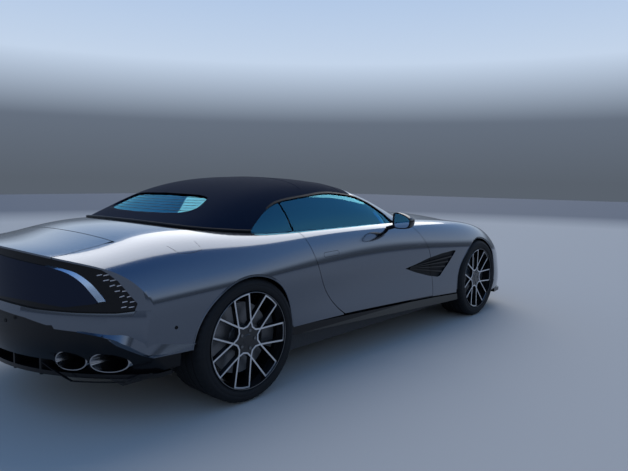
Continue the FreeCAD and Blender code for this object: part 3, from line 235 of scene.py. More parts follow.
def lofted(points, size, closed=False):
    """A closed form through rings of size points; closed joins the last ring to the first."""
    count = len(points) // size
    faces = []
    for i in range(count if closed else count - 1):
        a, b = size * i, size * ((i + 1) % count)
        faces += [(a + k, b + k, b + (k + 1) % size, a + (k + 1) % size) for k in range(size)]
    if not closed:
        faces += [tuple(range(size)), tuple(range(size * count - 1, size * (count - 1) - 1, -1))]
    return as_mesh(points, faces)


def joined(*meshes, flip=False):
    """One mesh from several that don't overlap; flip mirrors it to the other side of the car."""
    bm = bmesh.new()
    for mesh in meshes:
        bm.from_mesh(mesh)
    if flip:
        bmesh.ops.scale(bm, vec=(1, -1, 1), verts=bm.verts)
        bmesh.ops.reverse_faces(bm, faces=bm.faces)
    result = bpy.data.meshes.new("form")
    bm.to_mesh(result)
    bm.free()
    return result


def mirrored(mesh):
    return joined(mesh, flip=True)


def both(mesh):
    return joined(mesh, mirrored(mesh))


def placed(name, data):
    """An object with the data, linked into the scene."""
    obj = bpy.data.objects.new(name, data)
    bpy.context.scene.collection.objects.link(obj)
    return obj


def modified(obj):
    """The mesh that an object's modifiers make; the object is removed."""
    graph = bpy.context.evaluated_depsgraph_get()
    result = bpy.data.meshes.new_from_object(obj.evaluated_get(graph))
    bpy.data.objects.remove(obj)
    return result


def boolean(operation, mesh, tools):
    """A new closed mesh from one that the tools work on in turn."""
    for tool in tools:
        target, other = placed("scratch", mesh), placed("scratch", tool)
        modifier = target.modifiers.new("boolean", "BOOLEAN")
        modifier.operation = operation
        modifier.solver = "MANIFOLD"
        modifier.object = other
        mesh = modified(target)
        bpy.data.objects.remove(other)
    return mesh


def cut(mesh, *tools):
    return boolean("DIFFERENCE", mesh, tools)


def meet(mesh, *tools):
    return boolean("INTERSECT", mesh, tools)


def fuse(mesh, *tools):
    return boolean("UNION", mesh, tools)


def prism(points, axis, a, b):
    """A prism along axis 0, 1 or 2, from a to b, over an outline in the other two axes."""
    verts = []
    for level in (a, b):
        for p, q in points:
            corner = [p, q]
            corner.insert(axis, level)
            verts.append(corner)
    return lofted(verts, len(points))


def box(x, y, z):
    return prism([(x[0], y[0]), (x[1], y[0]), (x[1], y[1]), (x[0], y[1])], 2, *z)


def side_prism(points, y0=-BEYOND, y1=BEYOND):
    return prism(points, 1, y0, y1)


def plan_prism(points, z0, z1):
    return prism(points, 2, z0, z1)


def front_prism(points, x0, x1):
    return prism(points, 0, x0, x1)


def across(half):
    """A whole (y, z) outline from its left half."""
    return half + [(-y, z) for y, z in reversed(half) if y > 0]


def plan_across(half):
    """A whole (x, y) outline from its left half."""
    return half + [(x, -y) for x, y in reversed(half) if y > 0]


def plan_whole(half, z0, z1):
    return plan_prism(plan_across(half), z0, z1)


def front_whole(half, x0, x1):
    return front_prism(across(half), x0, x1)


def cabin_side(points):
    """A prism across the left side of the cabin."""
    return side_prism(points, 500, 1000)


def cylinder(a, b, radius, count=96):
    """A round bar from a to b."""
    a, b = Vector(a), Vector(b)
    turn = (b - a).to_track_quat("Z", "Y").to_matrix()
    ring = [turn @ Vector((radius * c, radius * s, 0)) for c, s in circle(count)]
    return lofted([end + p for end in (a, b) for p in ring], count)


def wheel_cylinder(axle_x, radius, y0, y1, count=160):
    return cylinder((axle_x, y0, TYRE_RADIUS), (axle_x, y1, TYRE_RADIUS), radius, count)


def arc(p, q, r, count=24):
    """Points of an arc through three points, its last one left out."""
    (ax, ay), (bx, by), (cx, cy) = p, q, r
    d = 2 * (ax * (by - cy) + bx * (cy - ay) + cx * (ay - by))
    sa, sb, sc = ax * ax + ay * ay, bx * bx + by * by, cx * cx + cy * cy
    ux = (sa * (by - cy) + sb * (cy - ay) + sc * (ay - by)) / d
    uy = (sa * (cx - bx) + sb * (ax - cx) + sc * (bx - ax)) / d
    angles = [math.atan2(y - uy, x - ux) for x, y in (p, q, r)]
    radius = math.hypot(ax - ux, ay - uy)
    sweep = (angles[2] - angles[0]) % (2 * math.pi)
    if (angles[1] - angles[0]) % (2 * math.pi) > sweep:
        sweep -= 2 * math.pi
    steps = [angles[0] + sweep * i / count for i in range(count)]
    return [(ux + radius * math.cos(t), uy + radius * math.sin(t)) for t in steps]


def ring_prism(r_in, r_out, z0, z1, count=360):
    """A band around the tail's upright axis."""
    section = ((r_in, z0), (r_out, z0), (r_out, z1), (r_in, z1))
    verts = [(TAIL_AXIS_X + r * c, r * s, z) for c, s in circle(count) for r, z in section]
    return lofted(verts, 4, True)


def half_section(station, inset):
    """Control points of a station's half section, moved inwards by inset."""
    line = [(station[i], station[i + 1]) for i in range(1, len(station) - 1, 2)]
    line.append((0.0, station[-1]))
    moved = []
    for i, (y, z) in enumerate(line):
        before = line[max(i - 1, 0)]
        after = line[i + 1] if i + 1 < len(line) else (-line[i - 1][0], line[i - 1][1])
        run_y, run_z = after[0] - before[0], after[1] - before[1]
        length = math.hypot(run_y, run_z)
        moved.append((y - inset * run_z / length, z + inset * run_y / length))
    moved[-1] = (0.0, moved[-1][1])
    return moved


def skin_net(stations, inset):
    """The control points of a skin, right sill over the top to left sill."""
    rows = []
    longest = max(abs(s[0]) for s in stations)
    for station in stations:
        x = station[0] * (1.0 - inset / longest)
        half = half_section(station, inset)
        half[0] = (half[0][0], half[0][1] - (SKIRT if inset else 0.0))
        right = [(x, -y, z) for y, z in half]
        left = [(x, y, z) for y, z in reversed(half[:-1])]
        rows.append(right + left)
    return np.array(rows, float)


def basis(count, params):
    """Cubic B-spline weights for params from 0 to 1 over count control points."""
    spans = count - 3
    knots = np.concatenate([[0] * 3, np.arange(spans + 1), [spans] * 3]).astype(float)
    u = np.clip(np.asarray(params, float) * spans, 0, spans - 1e-9)
    weights = np.zeros((len(u), count + 3))
    for i in range(len(knots) - 1):
        weights[:, i] = (u >= knots[i]) & (u < knots[i + 1])
    for degree in range(1, 4):
        raised = np.zeros_like(weights)
        for i in range(len(knots) - degree - 1):
            a = knots[i + degree] - knots[i]
            b = knots[i + degree + 1] - knots[i + 1]
            if a > 0:
                raised[:, i] += (u - knots[i]) / a * weights[:, i]
            if b > 0:
                raised[:, i] += (knots[i + degree + 1] - u) / b * weights[:, i + 1]
        weights = raised
    return weights[:, :count]


def skin_grid(stations, inset=0.0, per_u=12, per_v=12):
    """Points of a skin on a regular grid, in millimetres."""
    net = skin_net(stations, inset)
    bu = basis(net.shape[0], np.linspace(0, 1, (net.shape[0] - 3) * per_u + 1))
    bv = basis(net.shape[1], np.linspace(0, 1, (net.shape[1] - 3) * per_v + 1))
    return np.einsum("ui,vj,ijk->uvk", bu, bv, net)


def skin_solid(stations, inset=0.0, per_u=12, per_v=12):
    """A closed solid under a skin, with flat ends and underside."""
    grid = skin_grid(stations, inset, per_u, per_v)
    nu, nv = grid.shape[:2]
    at = np.arange(nu * nv).reshape(nu, nv)
    quads = np.stack([at[:-1, :-1], at[1:, :-1], at[1:, 1:], at[:-1, 1:]], -1).reshape(-1, 4).tolist()
    quads += [(at[i, 0], at[i, -1], at[i + 1, -1], at[i + 1, 0]) for i in range(nu - 1)]
    ends = [tuple(at[0].tolist()), tuple(at[-1][::-1].tolist())]
    return as_mesh(grid.reshape(-1, 3), quads + ends)


def tail_solid(inset):
    """A turned drum and a long box ahead of it."""
    z_low, z_high = TAIL_PROFILE[0][1], TAIL_PROFILE[-1][1]
    rings = [(r - inset, z) for r, z in TAIL_PROFILE]
    verts = [(TAIL_AXIS_X + r * c, r * s, z) for r, z in rings for c, s in circle(360)]
    ahead = box((TAIL_AXIS_X + 3, NOSE_X + SKIRT), WIDE, (z_low - 1, z_high + 1))
    return fuse(lofted(verts, 360), ahead)


def body_solid(inset=0.0, per_u=12, per_v=12):
    return meet(skin_solid(BODY_STATIONS, inset, per_u, per_v), tail_solid(inset))


# Body panels, cut from smooth skins by the same outlines as the part's panels
outer = body_solid(0.0, 14, 16)
inner = body_solid(PANEL_WALL, 6, 8)
deep = body_solid(2 * PANEL_WALL, 4, 6)
vent_floor = skin_solid(BODY_STATIONS, 16.0, 8, 10)
under_lip = skin_solid(BODY_STATIONS, 5.0, 8, 10)
cabin_outer = skin_solid(CABIN_STATIONS, 0.0, 16, 16)
cabin_inner = skin_solid(CABIN_STATIONS, 36.0, 8, 8)
glass_outer = skin_solid(CABIN_STATIONS, 8.0, 12, 14)
glass_inner = skin_solid(CABIN_STATIONS, 13.0, 12, 14)
cabin_wall = cut(cabin_outer, cabin_inner)
cabin_glass = cut(glass_outer, glass_inner)
ARCHES = ((FRONT_AXLE_X, 391.0), (REAR_AXLE_X, 379.0))
arches = joined(*[both(wheel_cylinder(x, r, 560, BEYOND)) for x, r in ARCHES])
cockpit = box((-1146, 640), (-790, 790), (700, 1100))
shell = cut(outer, inner, arches, cockpit)


def door_outline(gap):
    rear_top, rear_mid, rear_low = (-806 + gap, 936), (-686 + gap, 599), (-426 + gap, 345 + gap)
    front_low, front_mid, front_top = (758 - gap, 296 + gap), (690 - gap, 626), (502 - gap, 896)
    return ([(-826 + gap, 1020)] + arc(rear_top, rear_mid, rear_low) + [rear_low]
            + arc(front_low, front_mid, front_top) + [front_top, (420 - gap, 1020)])


def door_prism(gap, y0=790, y1=BEYOND):
    return side_prism(door_outline(gap), y0, y1)


VENT = [(334, 574), (492, 598), (664, 631), (854, 653), (1049, 665), (1077, 657), (982, 550),
        (868, 456), (828, 451), (687, 477), (490, 527)]
recess = cut(side_prism(VENT, 800, BEYOND), vent_floor)
door_cuts = both(door_prism(-PANEL_GAP / 2, 760))
skin = cut(meet(shell, door_prism(PANEL_GAP / 2)), recess)
CORE_FRONT = [(640, 250), (520, 720), (430, 1000), (1000, 1000), (1000, 250)]
core = cut(meet(outer, door_prism(18)), side_prism(CORE_FRONT, 700, BEYOND), recess,
           box((-2000, 2000), (0, BEYOND), (880, BEYOND)))
door = fuse(skin, core)

# Glass, windscreen frame and soft top
WINDOW = [(-1180, 930), (-1120, 985), (-1000, 1062), (-850, 1118), (-560, 1152), (-293, 1170), (3, 1144),
          (130, 1108), (224, 1064), (330, 985), (400, 925)]


def smoothed(points, steps=6):
    """Points of a curve through all points, its ends included."""
    out = []
    for i in range(len(points) - 1):
        p0, p1 = points[max(i - 1, 0)], points[i]
        p2, p3 = points[i + 1], points[min(i + 2, len(points) - 1)]
        for k in range(steps):
            t = k / steps
            out.append(tuple(
                0.5 * (2 * b + (c - a) * t + (2 * a - 5 * b + 4 * c - d) * t * t
                       + (3 * b - a - 3 * c + d) * t ** 3) for a, b, c, d in zip(p0, p1, p2, p3)))
    return out + [points[-1]]


WINDOW = smoothed(WINDOW)
DOOR_PANE = [(-768, 850), (-788, 915), (-812, 965), (-846, 1180), (180, 1180), (224, 1064), (264, 941),
             (264, 850)]
QUARTER_PANE = [(-1300, 850), (-1300, 1200), (-862, 1200), (-822, 930), (-822, 850)]
pane = meet(cabin_glass, cabin_side(WINDOW + [(400, 880), (-1180, 880)]))
door_pane = cut(meet(pane, cabin_side(DOOR_PANE)), core)
FRONT_PANE = [(270, 850), (270, 942), (230, 1066), (186, 1180), (600, 1180), (600, 850)]
front_pane = cut(meet(pane, cabin_side(FRONT_PANE)), core, shell)
quarter_pane = cut(meet(pane, cabin_side(QUARTER_PANE)), shell)
SCREEN = [(75, 0), (40, 560), (230, 585), (400, 572), (620, 540), (800, 470), (980, 300), (1010, 0)]
screen_tool = plan_whole(SCREEN, 850, 1400)
side_window = cabin_side([(-1180, 800)] + WINDOW + [(400, 800)])
header_tool = plan_whole([(28, 0), (-8, 900), (1200, 900)], 700, 1400)
frame_piece = cut(meet(cabin_wall, header_tool), screen_tool, both(side_window), shell,
                  box((-200, 1200), (-1000, 1000), (600, 915)))
screen = cut(meet(cabin_glass, screen_tool), shell, box((-200, 1200), (-1000, 1000), (600, 940)))
REAR_WINDOW = smoothed([(0, 1050), (300, 1053), (430, 1060), (474, 1078), (472, 1102), (440, 1138),
                        (400, 1152), (300, 1162), (0, 1168)], 4)
window_tool = front_whole(REAR_WINDOW, -1700, -1100)
top = cut(cabin_wall, header_tool, both(side_window), outer)
rear_glass = cut(meet(cabin_glass, window_tool), outer)
top = cut(top, window_tool)

# Rear deck and tail
TONNEAU = [(-1146, 0), (-1146, 670), (-1268, 826), (-1400, 775), (-1630, 665), (-1775, 640), (-1990, 562),
           (-1990, 0)]
LID = [(-1850, 0), (-1850, 548), (-2010, 558), (-2115, 562), (-2200, 582), (-2460, 592), (-2460, 0)]
BOOT_HINGE = (-2010, 893)
BOOT_SHUT = 78.0
rear = meet(shell, box((REAR_END, 0), WIDE, (100, 1100)))


def hinge_disc(hinge, radius):
    return cylinder((hinge[0], -BEYOND, hinge[1]), (hinge[0], BEYOND, hinge[1]), radius, 128)


behind_hinge = box((REAR_END, BOOT_HINGE[0]), WIDE, (100, 1100))
opening_reach = fuse(behind_hinge, hinge_disc(BOOT_HINGE, BOOT_SHUT + PANEL_GAP))
lid_reach = fuse(behind_hinge, hinge_disc(BOOT_HINGE, BOOT_SHUT))
lid_opening = plan_whole([(x, y + PANEL_GAP if y else 0) for x, y in LID], *DECK)
lid_hole = meet(lid_opening, opening_reach)
tonneau_tool = plan_whole(TONNEAU, *DECK)
cover = cut(meet(rear, tonneau_tool), cabin_inner, opening_reach)
RECESS = [(0, 645), (230, 643), (486, 621), (683, 615), (829, 615), (886, 624), (897, 663), (841, 773),
          (788, 832), (738, 853), (666, 873), (288, 925), (0, 934)]


def tree_of(mesh):
    return BVHTree.FromPolygons([v.co for v in mesh.vertices], [tuple(p.vertices) for p in mesh.polygons])


def under(tree, x, y):
    """Where a ray straight down at x and y meets a skin, in metres, or None."""
    return tree.ray_cast(Vector((x * MM, y * MM, 2.0)), Vector((0, 0, -1)))[0]


SKIN_TREE, CABIN_TREE = tree_of(outer), tree_of(cabin_outer)


def under_edge(half, depth):
    """A rear-view outline whose top keeps depth below the edge of the deck."""
    out = []
    for (y0, z0), (y1, z1) in zip(half, half[1:]):
        steps = max(1, int(math.hypot(y1 - y0, z1 - z0) / 25))
        for k in range(steps):
            y, z = y0 + (y1 - y0) * k / steps, z0 + (z1 - z0) * k / steps
            if z > 700:
                place = under(SKIN_TREE, TAIL_AXIS_X - math.sqrt((TAIL_RADIUS - 2) ** 2 - y * y), y)
                z = min(z, place.z / MM - depth) if place else z
            out.append((y, z))
    return out + [half[-1] if half[-1][1] < 700 else (0, out[-1][1])]


RECESS = under_edge(RECESS, 9.0)
tail_recess = meet(front_whole(RECESS, -2500, -1900),
                   ring_prism(TAIL_RADIUS - 59, TAIL_RADIUS + 60, *TAIL_BAND))
lid = cut(meet(rear, plan_whole(LID, *DECK), lid_reach), tail_recess)
rear = cut(rear, tail_recess, door_cuts)
BUMPER_ZONE = [(-1660, 100), (-1660, 612), (-1800, 632), (-2000, 640), (-2300, 650), (REAR_END, 650),
               (REAR_END, 100)]
SILL_ZONE = [(-1300, 366), (-426, 342), (758, 292), (1300, 262), (1300, 60), (-1300, 60)]
AHEAD_OF_QUARTER = [(-380, 200), (-760, 1100), (1000, 1100), (1000, 200)]
bumper_zone = side_prism(BUMPER_ZONE)
sill_zone = side_prism(SILL_ZONE)
quarters = cut(rear, bumper_zone, side_prism(AHEAD_OF_QUARTER), sill_zone, tonneau_tool,
               lid_hole)
BUMPER_LOW = [(0, 600), (255, 597), (432, 575), (549, 548), (575, 550), (586, 532), (733, 521), (802, 492),
              (824, 458), (914, 382), (1000, 377), (1000, 80), (0, 80)]
DIFFUSER = [(0, 606), (257, 603), (436, 581), (552, 555), (581, 557), (592, 539), (736, 528), (810, 496),
            (832, 464), (905, 398), (895, 300), (800, 255), (590, 252), (507, 313), (470, 345), (0, 345)]
rear_bumper = cut(meet(rear, bumper_zone), front_whole(BUMPER_LOW, REAR_END, -1500))
diffuser = meet(cut(inner, deep), front_whole(DIFFUSER, REAR_END, -1760))

# Front end
BONNET_HINGE = (2298, 582)
BONNET_SHUT, BONNET_GAP = 150.0, 6.0
BONNET_SIDE = [(744, 700), (1500, 700), (2250, 500), (2400, 460)]


def bonnet_plan(grow):
    edge = arc((505 - grow, -1000), (935 - grow, 0), (505 - grow, 1000), 48)
    ahead = plan_prism(edge + [(505 - grow, 1000), (NOSE_X, 1000), (NOSE_X, -1000)], 300, 1200)
    side = [(0, 0), (0, BONNET_SIDE[0][1] + grow)] + [(x, y + grow) for x, y in BONNET_SIDE[1:]]
    return meet(ahead, plan_whole(side + [(BONNET_SIDE[-1][0], 0)], 299, 1201))


front = meet(shell, box((0, FRONT_END), WIDE, (100, 1200)))
front = cut(front, door_cuts, box((-10, 430), WIDE, (200, 1100)), sill_zone, both(recess),
            both(meet(door_prism(-PANEL_GAP / 2 - 16, 700), under_lip)))
HEADLAMP = [(1975, 800), (2050, 660), (2200, 575), (2296, 480), (2330, 560), (2240, 700), (2120, 830),
            (2010, 860)]
head_tools = both(plan_prism(HEADLAMP, 560, 900))
upper = box((600, FRONT_END), WIDE, (600, 1200))
ahead_of_hinge = box((BONNET_HINGE[0], FRONT_END), WIDE, (99, 1201))
bonnet = cut(meet(front, bonnet_plan(0.0), upper), hinge_disc(BONNET_HINGE, BONNET_SHUT), ahead_of_hinge)
bonnet_hole = cut(meet(bonnet_plan(BONNET_GAP), upper), hinge_disc(BONNET_HINGE, BONNET_SHUT - BONNET_GAP),
                  ahead_of_hinge)
rest = cut(front, bonnet_hole, head_tools)
COWL = box((0, 1010), (-706, 706), (600, 1100))
cowl = cut(meet(rest, COWL), cabin_outer)
FRONT_SPLIT = [(1905, 100), (1905, 520), (1960, 640), (2000, 790), (2000, 1200), (FRONT_END, 1200),
               (FRONT_END, 100)]
nose_zone = side_prism(FRONT_SPLIT)
fenders = cut(rest, COWL, nose_zone)
GRILLE = [(0, 240), (500, 240), (560, 330), (470, 440), (250, 500), (0, 500)]
front_bumper = cut(meet(cut(rest, COWL), nose_zone), front_whole(GRILLE, 1900, FRONT_END))


def piece(name, mesh, slot, body="root", hides=(), angle=35.0, material=None):
    """A shown piece that rides on a body and may stand for CAD nodes."""
    obj = placed(name, mesh)
    mesh.materials.clear()
    mesh.materials.append(material or BY_SLOT[slot])
    mesh.shade_smooth()
    if angle < 180:
        mesh.set_sharp_from_angle(angle=math.radians(angle))
    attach(obj, body)
    if hides:
        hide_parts(*hides)
    return obj


def on_doors(name, mesh, slot, hides="", material=None):
    """A piece of the left door and its mirror image on the right one."""
    for side, shape in (("left", mesh), ("right", mirrored(mesh))):
        piece(name + "_" + side, shape, slot, "door_" + side, [hides + "_" + side] if hides else (),
              material=material)


on_doors("door_panel", door, "body_paint", "door")
on_doors("door_pane", door_pane, "glass", "door_glass")
ROOF_CLOTH = 3.0
roof = cut(top, skin_solid(CABIN_STATIONS, ROOF_CLOTH, 16, 16))
cloth = piece("fabric_roof", roof, "top_fabric", hides=["soft_top"])
piece("roof_lining", meet(top, skin_solid(CABIN_STATIONS, ROOF_CLOTH + 0.3, 12, 12)), "top_fabric")
piece("front_side_panes", both(front_pane), "glass")
for name, mesh, slot, node in (
        ("quarter_panes", both(quarter_pane), "glass", "quarter_glass"),
        ("windscreen_surround", frame_piece, "body_paint", "windscreen_frame"),
        ("windscreen_pane", screen, "glass", "windscreen"),
        ("rear_pane", rear_glass, "glass", "rear_window"),
        ("tonneau_panel", cover, "body_paint", "tonneau_cover"),
        ("quarter_panels", quarters, "body_paint", "rear_body"),
        ("rear_bumper_skin", rear_bumper, "body_paint", "rear_bumper"),
        ("cowl_cover", cowl, "satin_black", "cowl_panel"),
        ("front_fender_panels", fenders, "body_paint", "front_fenders"),
        ("front_bumper_skin", front_bumper, "body_paint", "front_bumper")):
    piece(name, mesh, slot, hides=[node])
# Hinges: how far their pads lie from the middle, the pin's bore, the eye's radius and half a pad's width
LID_Y, BONNET_Y = 330.0, 250.0
PIN, EYE = 6.3, 12.0
PAD_HALF = 10.0


def hinge_pad(x, y, z, mesh):
    """A part fused with a round eye about a hinge pin, bored for the pin."""
    eye = cylinder((x, y - PAD_HALF, z), (x, y + PAD_HALF, z), EYE, 48)
    return cut(fuse(mesh, eye), cylinder((x, y - 2 * PAD_HALF, z), (x, y + 2 * PAD_HALF, z), PIN, 48))


lid_parts, bonnet_parts = [lid], [bonnet]
x, z = BOOT_HINGE
for y in (-LID_Y, LID_Y):
    post = box((x - EYE, x + EYE), (y - PAD_HALF, y + PAD_HALF), (z, z + 36))
    lid_parts.append(hinge_pad(x, y, z, post))
piece("boot_lid_panel", fuse(*lid_parts), "body_paint", "boot_lid", ["boot_lid"])
ARM = [(0, 11), (0, -11), (-176, -59), (-216, -59), (-216, 240), (-176, 240), (-176, -35)]
x, z = BONNET_HINGE
for y in (-BONNET_Y, BONNET_Y):
    arm = side_prism([(x + dx, z + dz) for dx, dz in ARM], y - PAD_HALF, y + PAD_HALF)
    bonnet_parts.append(hinge_pad(x, y, z, meet(arm, under_lip)))
piece("bonnet_panel", fuse(*bonnet_parts), "body_paint", "bonnet", ["bonnet"])


# Wheels
FLANGE = 281.0
TREAD_DEPTH = 5.0
LOOPS = 7
LOOP_HALF, CROSSING = 11.5, 180.0 / LOOPS
HUB = 75.0
BOLTS, BOLT_CIRCLE = 5, 54.0


def turned(profile, axle_x, count, dipped=()):
    """A ring turned about a wheel's axis from a closed outline of (radius, y) points. The dipped points
    lie lower at every third segment, as a tyre's cross grooves."""
    verts = []
    for i, (c, s) in enumerate(circle(count)):
        for k, (r, y) in enumerate(profile):
            r -= TREAD_DEPTH if i % 3 == 0 and k in dipped else 0.0
            verts.append((axle_x + r * c, y, TYRE_RADIUS + r * s))
    return lofted(verts, len(profile), True)


def face_offset(r):
    """How far the wheel's face lies behind its outer plane at radius r."""
    return -31.0 + 19.0 * max(0.0, min(1.0, (r - HUB) / (265.0 - HUB))) ** 1.3


def on_face(corners):
    """Points in the wheel's plane from shares of the flange's radius and angles in degrees."""
    places = [(r * FLANGE, math.radians(a)) for r, a in corners]
    return [(r * math.cos(a), r * math.sin(a)) for r, a in places]


def loop_path(turned_by):
    """Corner points of one loop, in the wheel's plane."""
    corners = [(0.955, a) for a in np.linspace(-LOOP_HALF, LOOP_HALF, 9)]
    corners += [(0.38, CROSSING), (0.275, LOOP_HALF), (0.275, -LOOP_HALF), (0.38, -CROSSING)]
    return on_face([(r, a + turned_by) for r, a in corners])


def subdivided(path, longest=30.0):
    out = []
    for (px, pz), (qx, qz) in zip(path, path[1:] + path[:1]):
        steps = max(1, int(math.hypot(qx - px, qz - pz) / longest))
        out += [(px + (qx - px) * k / steps, pz + (qz - pz) * k / steps) for k in range(steps)]
    return out


def band(path, half_top, half_low, top, low, axle_x, face_y):
    """A closed band along a path in the wheel's plane, between two heights over the wheel's face."""
    pts = np.array(path)
    ahead = np.roll(pts, -1, 0) - pts
    ahead /= np.linalg.norm(ahead, axis=1)[:, None]
    behind = np.roll(ahead, 1, 0)
    side = np.stack([-(ahead + behind)[:, 1], (ahead + behind)[:, 0]], 1)
    side /= np.linalg.norm(side, axis=1)[:, None]
    stretch = 1.0 / np.maximum(0.35, np.abs(-side[:, 0] * ahead[:, 1] + side[:, 1] * ahead[:, 0]))
    verts = []
    for p, s, w in zip(pts, side, stretch):
        y = face_y + face_offset(np.linalg.norm(p))
        for half, level in ((half_top, top), (-half_top, top), (-half_low, low), (half_low, low)):
            q = p + s * half * w
            verts.append((axle_x + q[0], y + level, TYRE_RADIUS + q[1]))
    return lofted(verts, 4, True)


def hub_plate(axle_x, face_y):
    """The filled middle of the wheel's face, a star whose points reach the crossings."""
    corners = []
    for k in range(LOOPS):
        a = k * 360.0 / LOOPS
        corners += [(0.275, a - LOOP_HALF), (0.275, a + LOOP_HALF), (0.38, a + CROSSING)]
    pts = on_face(corners)
    n = len(pts)
    verts = []
    for level in (-1.5, -24.0):
        for x, z in pts:
            verts.append((axle_x + x, face_y + face_offset(math.hypot(x, z)) + level, TYRE_RADIUS + z))
    verts += [(axle_x, face_y + face_offset(0) + level, TYRE_RADIUS) for level in (-1.5, -24.0)]
    faces = []
    for i in range(n):
        j = (i + 1) % n
        faces += [(i, j, n + j, n + i), (i, j, 2 * n), (n + i, n + j, 2 * n + 1)]
    return as_mesh(verts, faces)


# Columns: corner, axle, outer plane, tyre width, side.
WHEELS = [("front_left", FRONT_AXLE_X, 955.0, 275.0, 1), ("front_right", FRONT_AXLE_X, 955.0, 275.0, -1),
          ("rear_left", REAR_AXLE_X, 972.0, 325.0, 1), ("rear_right", REAR_AXLE_X, 972.0, 325.0, -1)]
R = TYRE_RADIUS
BEAD = FLANGE - 4.0
# Columns: radius, and how far behind the wheel's outer plane.
SIDEWALL = [(BEAD, 14), (BEAD + 7, 8), (FLANGE + 6, 2.5), (FLANGE + 9, 4), (FLANGE + 12, 1.5),
            (FLANGE + 30, 0), (FLANGE + 34, 1.6), (FLANGE + 37, 0.2), (R - 30, 1.0), (R - 24, 2.5),
            (R - 22, 5), (R - 16, 7), (R - 9, 13), (R - 4, 22), (R - 1, 34)]
for corner, axle_x, f, width, side in WHEELS:
    outer_half = [(r, f - y) for r, y in SIDEWALL]
    groove_ys = [f - width * share for share in (0.22, 0.41, 0.59, 0.78)]
    crown = []
    for y in groove_ys:
        crown += [(R, y + 6), (R - 7, y + 4.5), (R - 7, y - 4.5), (R, y - 6)]
    b = f - width
    inner_half = [(r, b + (f - y)) for r, y in reversed(outer_half)]
    profile = outer_half + crown + inner_half
    first, last = len(outer_half) - 3, len(profile) - len(outer_half)
    shoulder = set(range(first, first + 3)) | set(range(last, last + 3))
    rubber = turned(profile, axle_x, 168, shoulder)
    r_in = FLANGE - 16.3
    barrel = turned([(FLANGE - 4.3, f - 14), (FLANGE - 1, f - 7), (FLANGE - 3, f - 4), (FLANGE - 5.5, f - 5),
                     (FLANGE - 6.5, f - 14), (FLANGE - 9, f - 32), (r_in - 2, f - 62), (r_in - 5, b + 24),
                     (r_in, b + 12), (FLANGE - 4.3, b + 14)], axle_x, 128)
    loops = [subdivided(loop_path(k * 360.0 / LOOPS)) for k in range(LOOPS)]
    ribs = [band(p, 6.4, 10.0, -1.0, -26.0, axle_x, f) for p in loops]
    strips = [band(p, 4.4, 5.0, 0.4, -2.0, axle_x, f) for p in loops]
    cap_y = f + face_offset(0)
    cap = turned([(0.5, cap_y + 1), (30, cap_y + 1), (33, cap_y - 1), (33, cap_y - 10), (0.5, cap_y - 10)],
                 axle_x, 48)
    bolts = []
    for c, s in circle(BOLTS):
        x, z = axle_x + BOLT_CIRCLE * c, R + BOLT_CIRCLE * s
        bolts.append(cylinder((x, cap_y - 6, z), (x, cap_y + 3, z), 9.5, 6))
    disc = turned([(HUB, f - 102), (205, f - 102), (205, f - 112), (198, f - 113), (198, f - 124),
                   (205, f - 125), (205, f - 134), (HUB, f - 134)], axle_x, 96)
    bell = turned([(0.5, f - 52), (70, f - 52), (78, f - 96), (82, f - 101), (0.5, f - 101)], axle_x, 64)
    flange = turned([(FLANGE - 7.5, f - 3.2), (FLANGE - 5.0, f - 2.6), (FLANGE - 3.6, f - 3.6),
                     (FLANGE - 5.5, f - 6)], axle_x, 128)
    body = "wheel_" + corner
    turn = (lambda m: m) if side > 0 else mirrored
    piece("tyre_rubber_" + corner, turn(rubber), "tyre", body, ["tyre_" + corner], 40)
    rim = joined(barrel, hub_plate(axle_x, f), cap, *ribs)
    piece("wheel_black_" + corner, turn(rim), "wheel_black", body, ["rim_" + corner], 30)
    for name, mesh, metal in (
            ("wheel_edges_", joined(*strips), MACHINED), ("wheel_flange_", flange, IRON),
            ("brake_disc_", joined(disc, bell), IRON), ("wheel_bolts_", joined(*bolts), IRON)):
        piece(name + corner, turn(mesh), "wheel_black", body, angle=30, material=metal)


# Places on the skins
def on_skin(start, way):
    """Point in millimetres and outward normal where a ray, in metres, meets the body."""
    place, normal, _, _ = SKIN_TREE.ray_cast(Vector(start), Vector(way))
    return place / MM, normal


def on_side(x, z, side):
    """A place on the body's side at x and z, in millimetres; side is -1 on the right and 1 on the left."""
    return on_skin((x * MM, side * 2.0, z * MM), (0, -side, 0))


def on_top(x, y):
    return on_skin((x * MM, y * MM, 2.0), (0, 0, -1))


def on_tail(y, z):
    return on_skin((-4.0, y * MM, z * MM), (1, 0, 0))


def along(points, step=18.0):
    """Points with others set between them, no further apart than step."""
    out = []
    for p, q in zip(points, points[1:]):
        n = max(1, int(math.dist(p, q) / step))
        out += [tuple(a + (b - a) * k / n for a, b in zip(p, q)) for k in range(n)]
    return out + [points[-1]]


def groove(points, find, width=2.6, lift=0.25):
    """A thin dark strip laid along a line on the skin, as a shut line; find gives place and normal."""
    spots = [find(*p) for p in along(points)]
    verts = []
    for i, (place, normal) in enumerate(spots):
        ahead = spots[min(i + 1, len(spots) - 1)][0] - spots[max(i - 1, 0)][0]
        side = ahead.cross(normal).normalized() * width / 2
        base = place + normal * lift
        low = place - normal * 1.5
        verts += [base - side, base + side, low + side, low - side]
    return lofted(verts, 4)


def drum(y, z, radius):
    """A point on an upright cylinder about the tail's axis."""
    return (TAIL_AXIS_X - math.sqrt(radius * radius - y * y), y, z)


def behind_tail(r_in, r_out, outline):
    """What a rear-view outline cuts from the band between two radii about the tail's axis."""
    return meet(ring_prism(r_in, r_out, *TAIL_BAND), front_prism(outline, -2500, -1850))


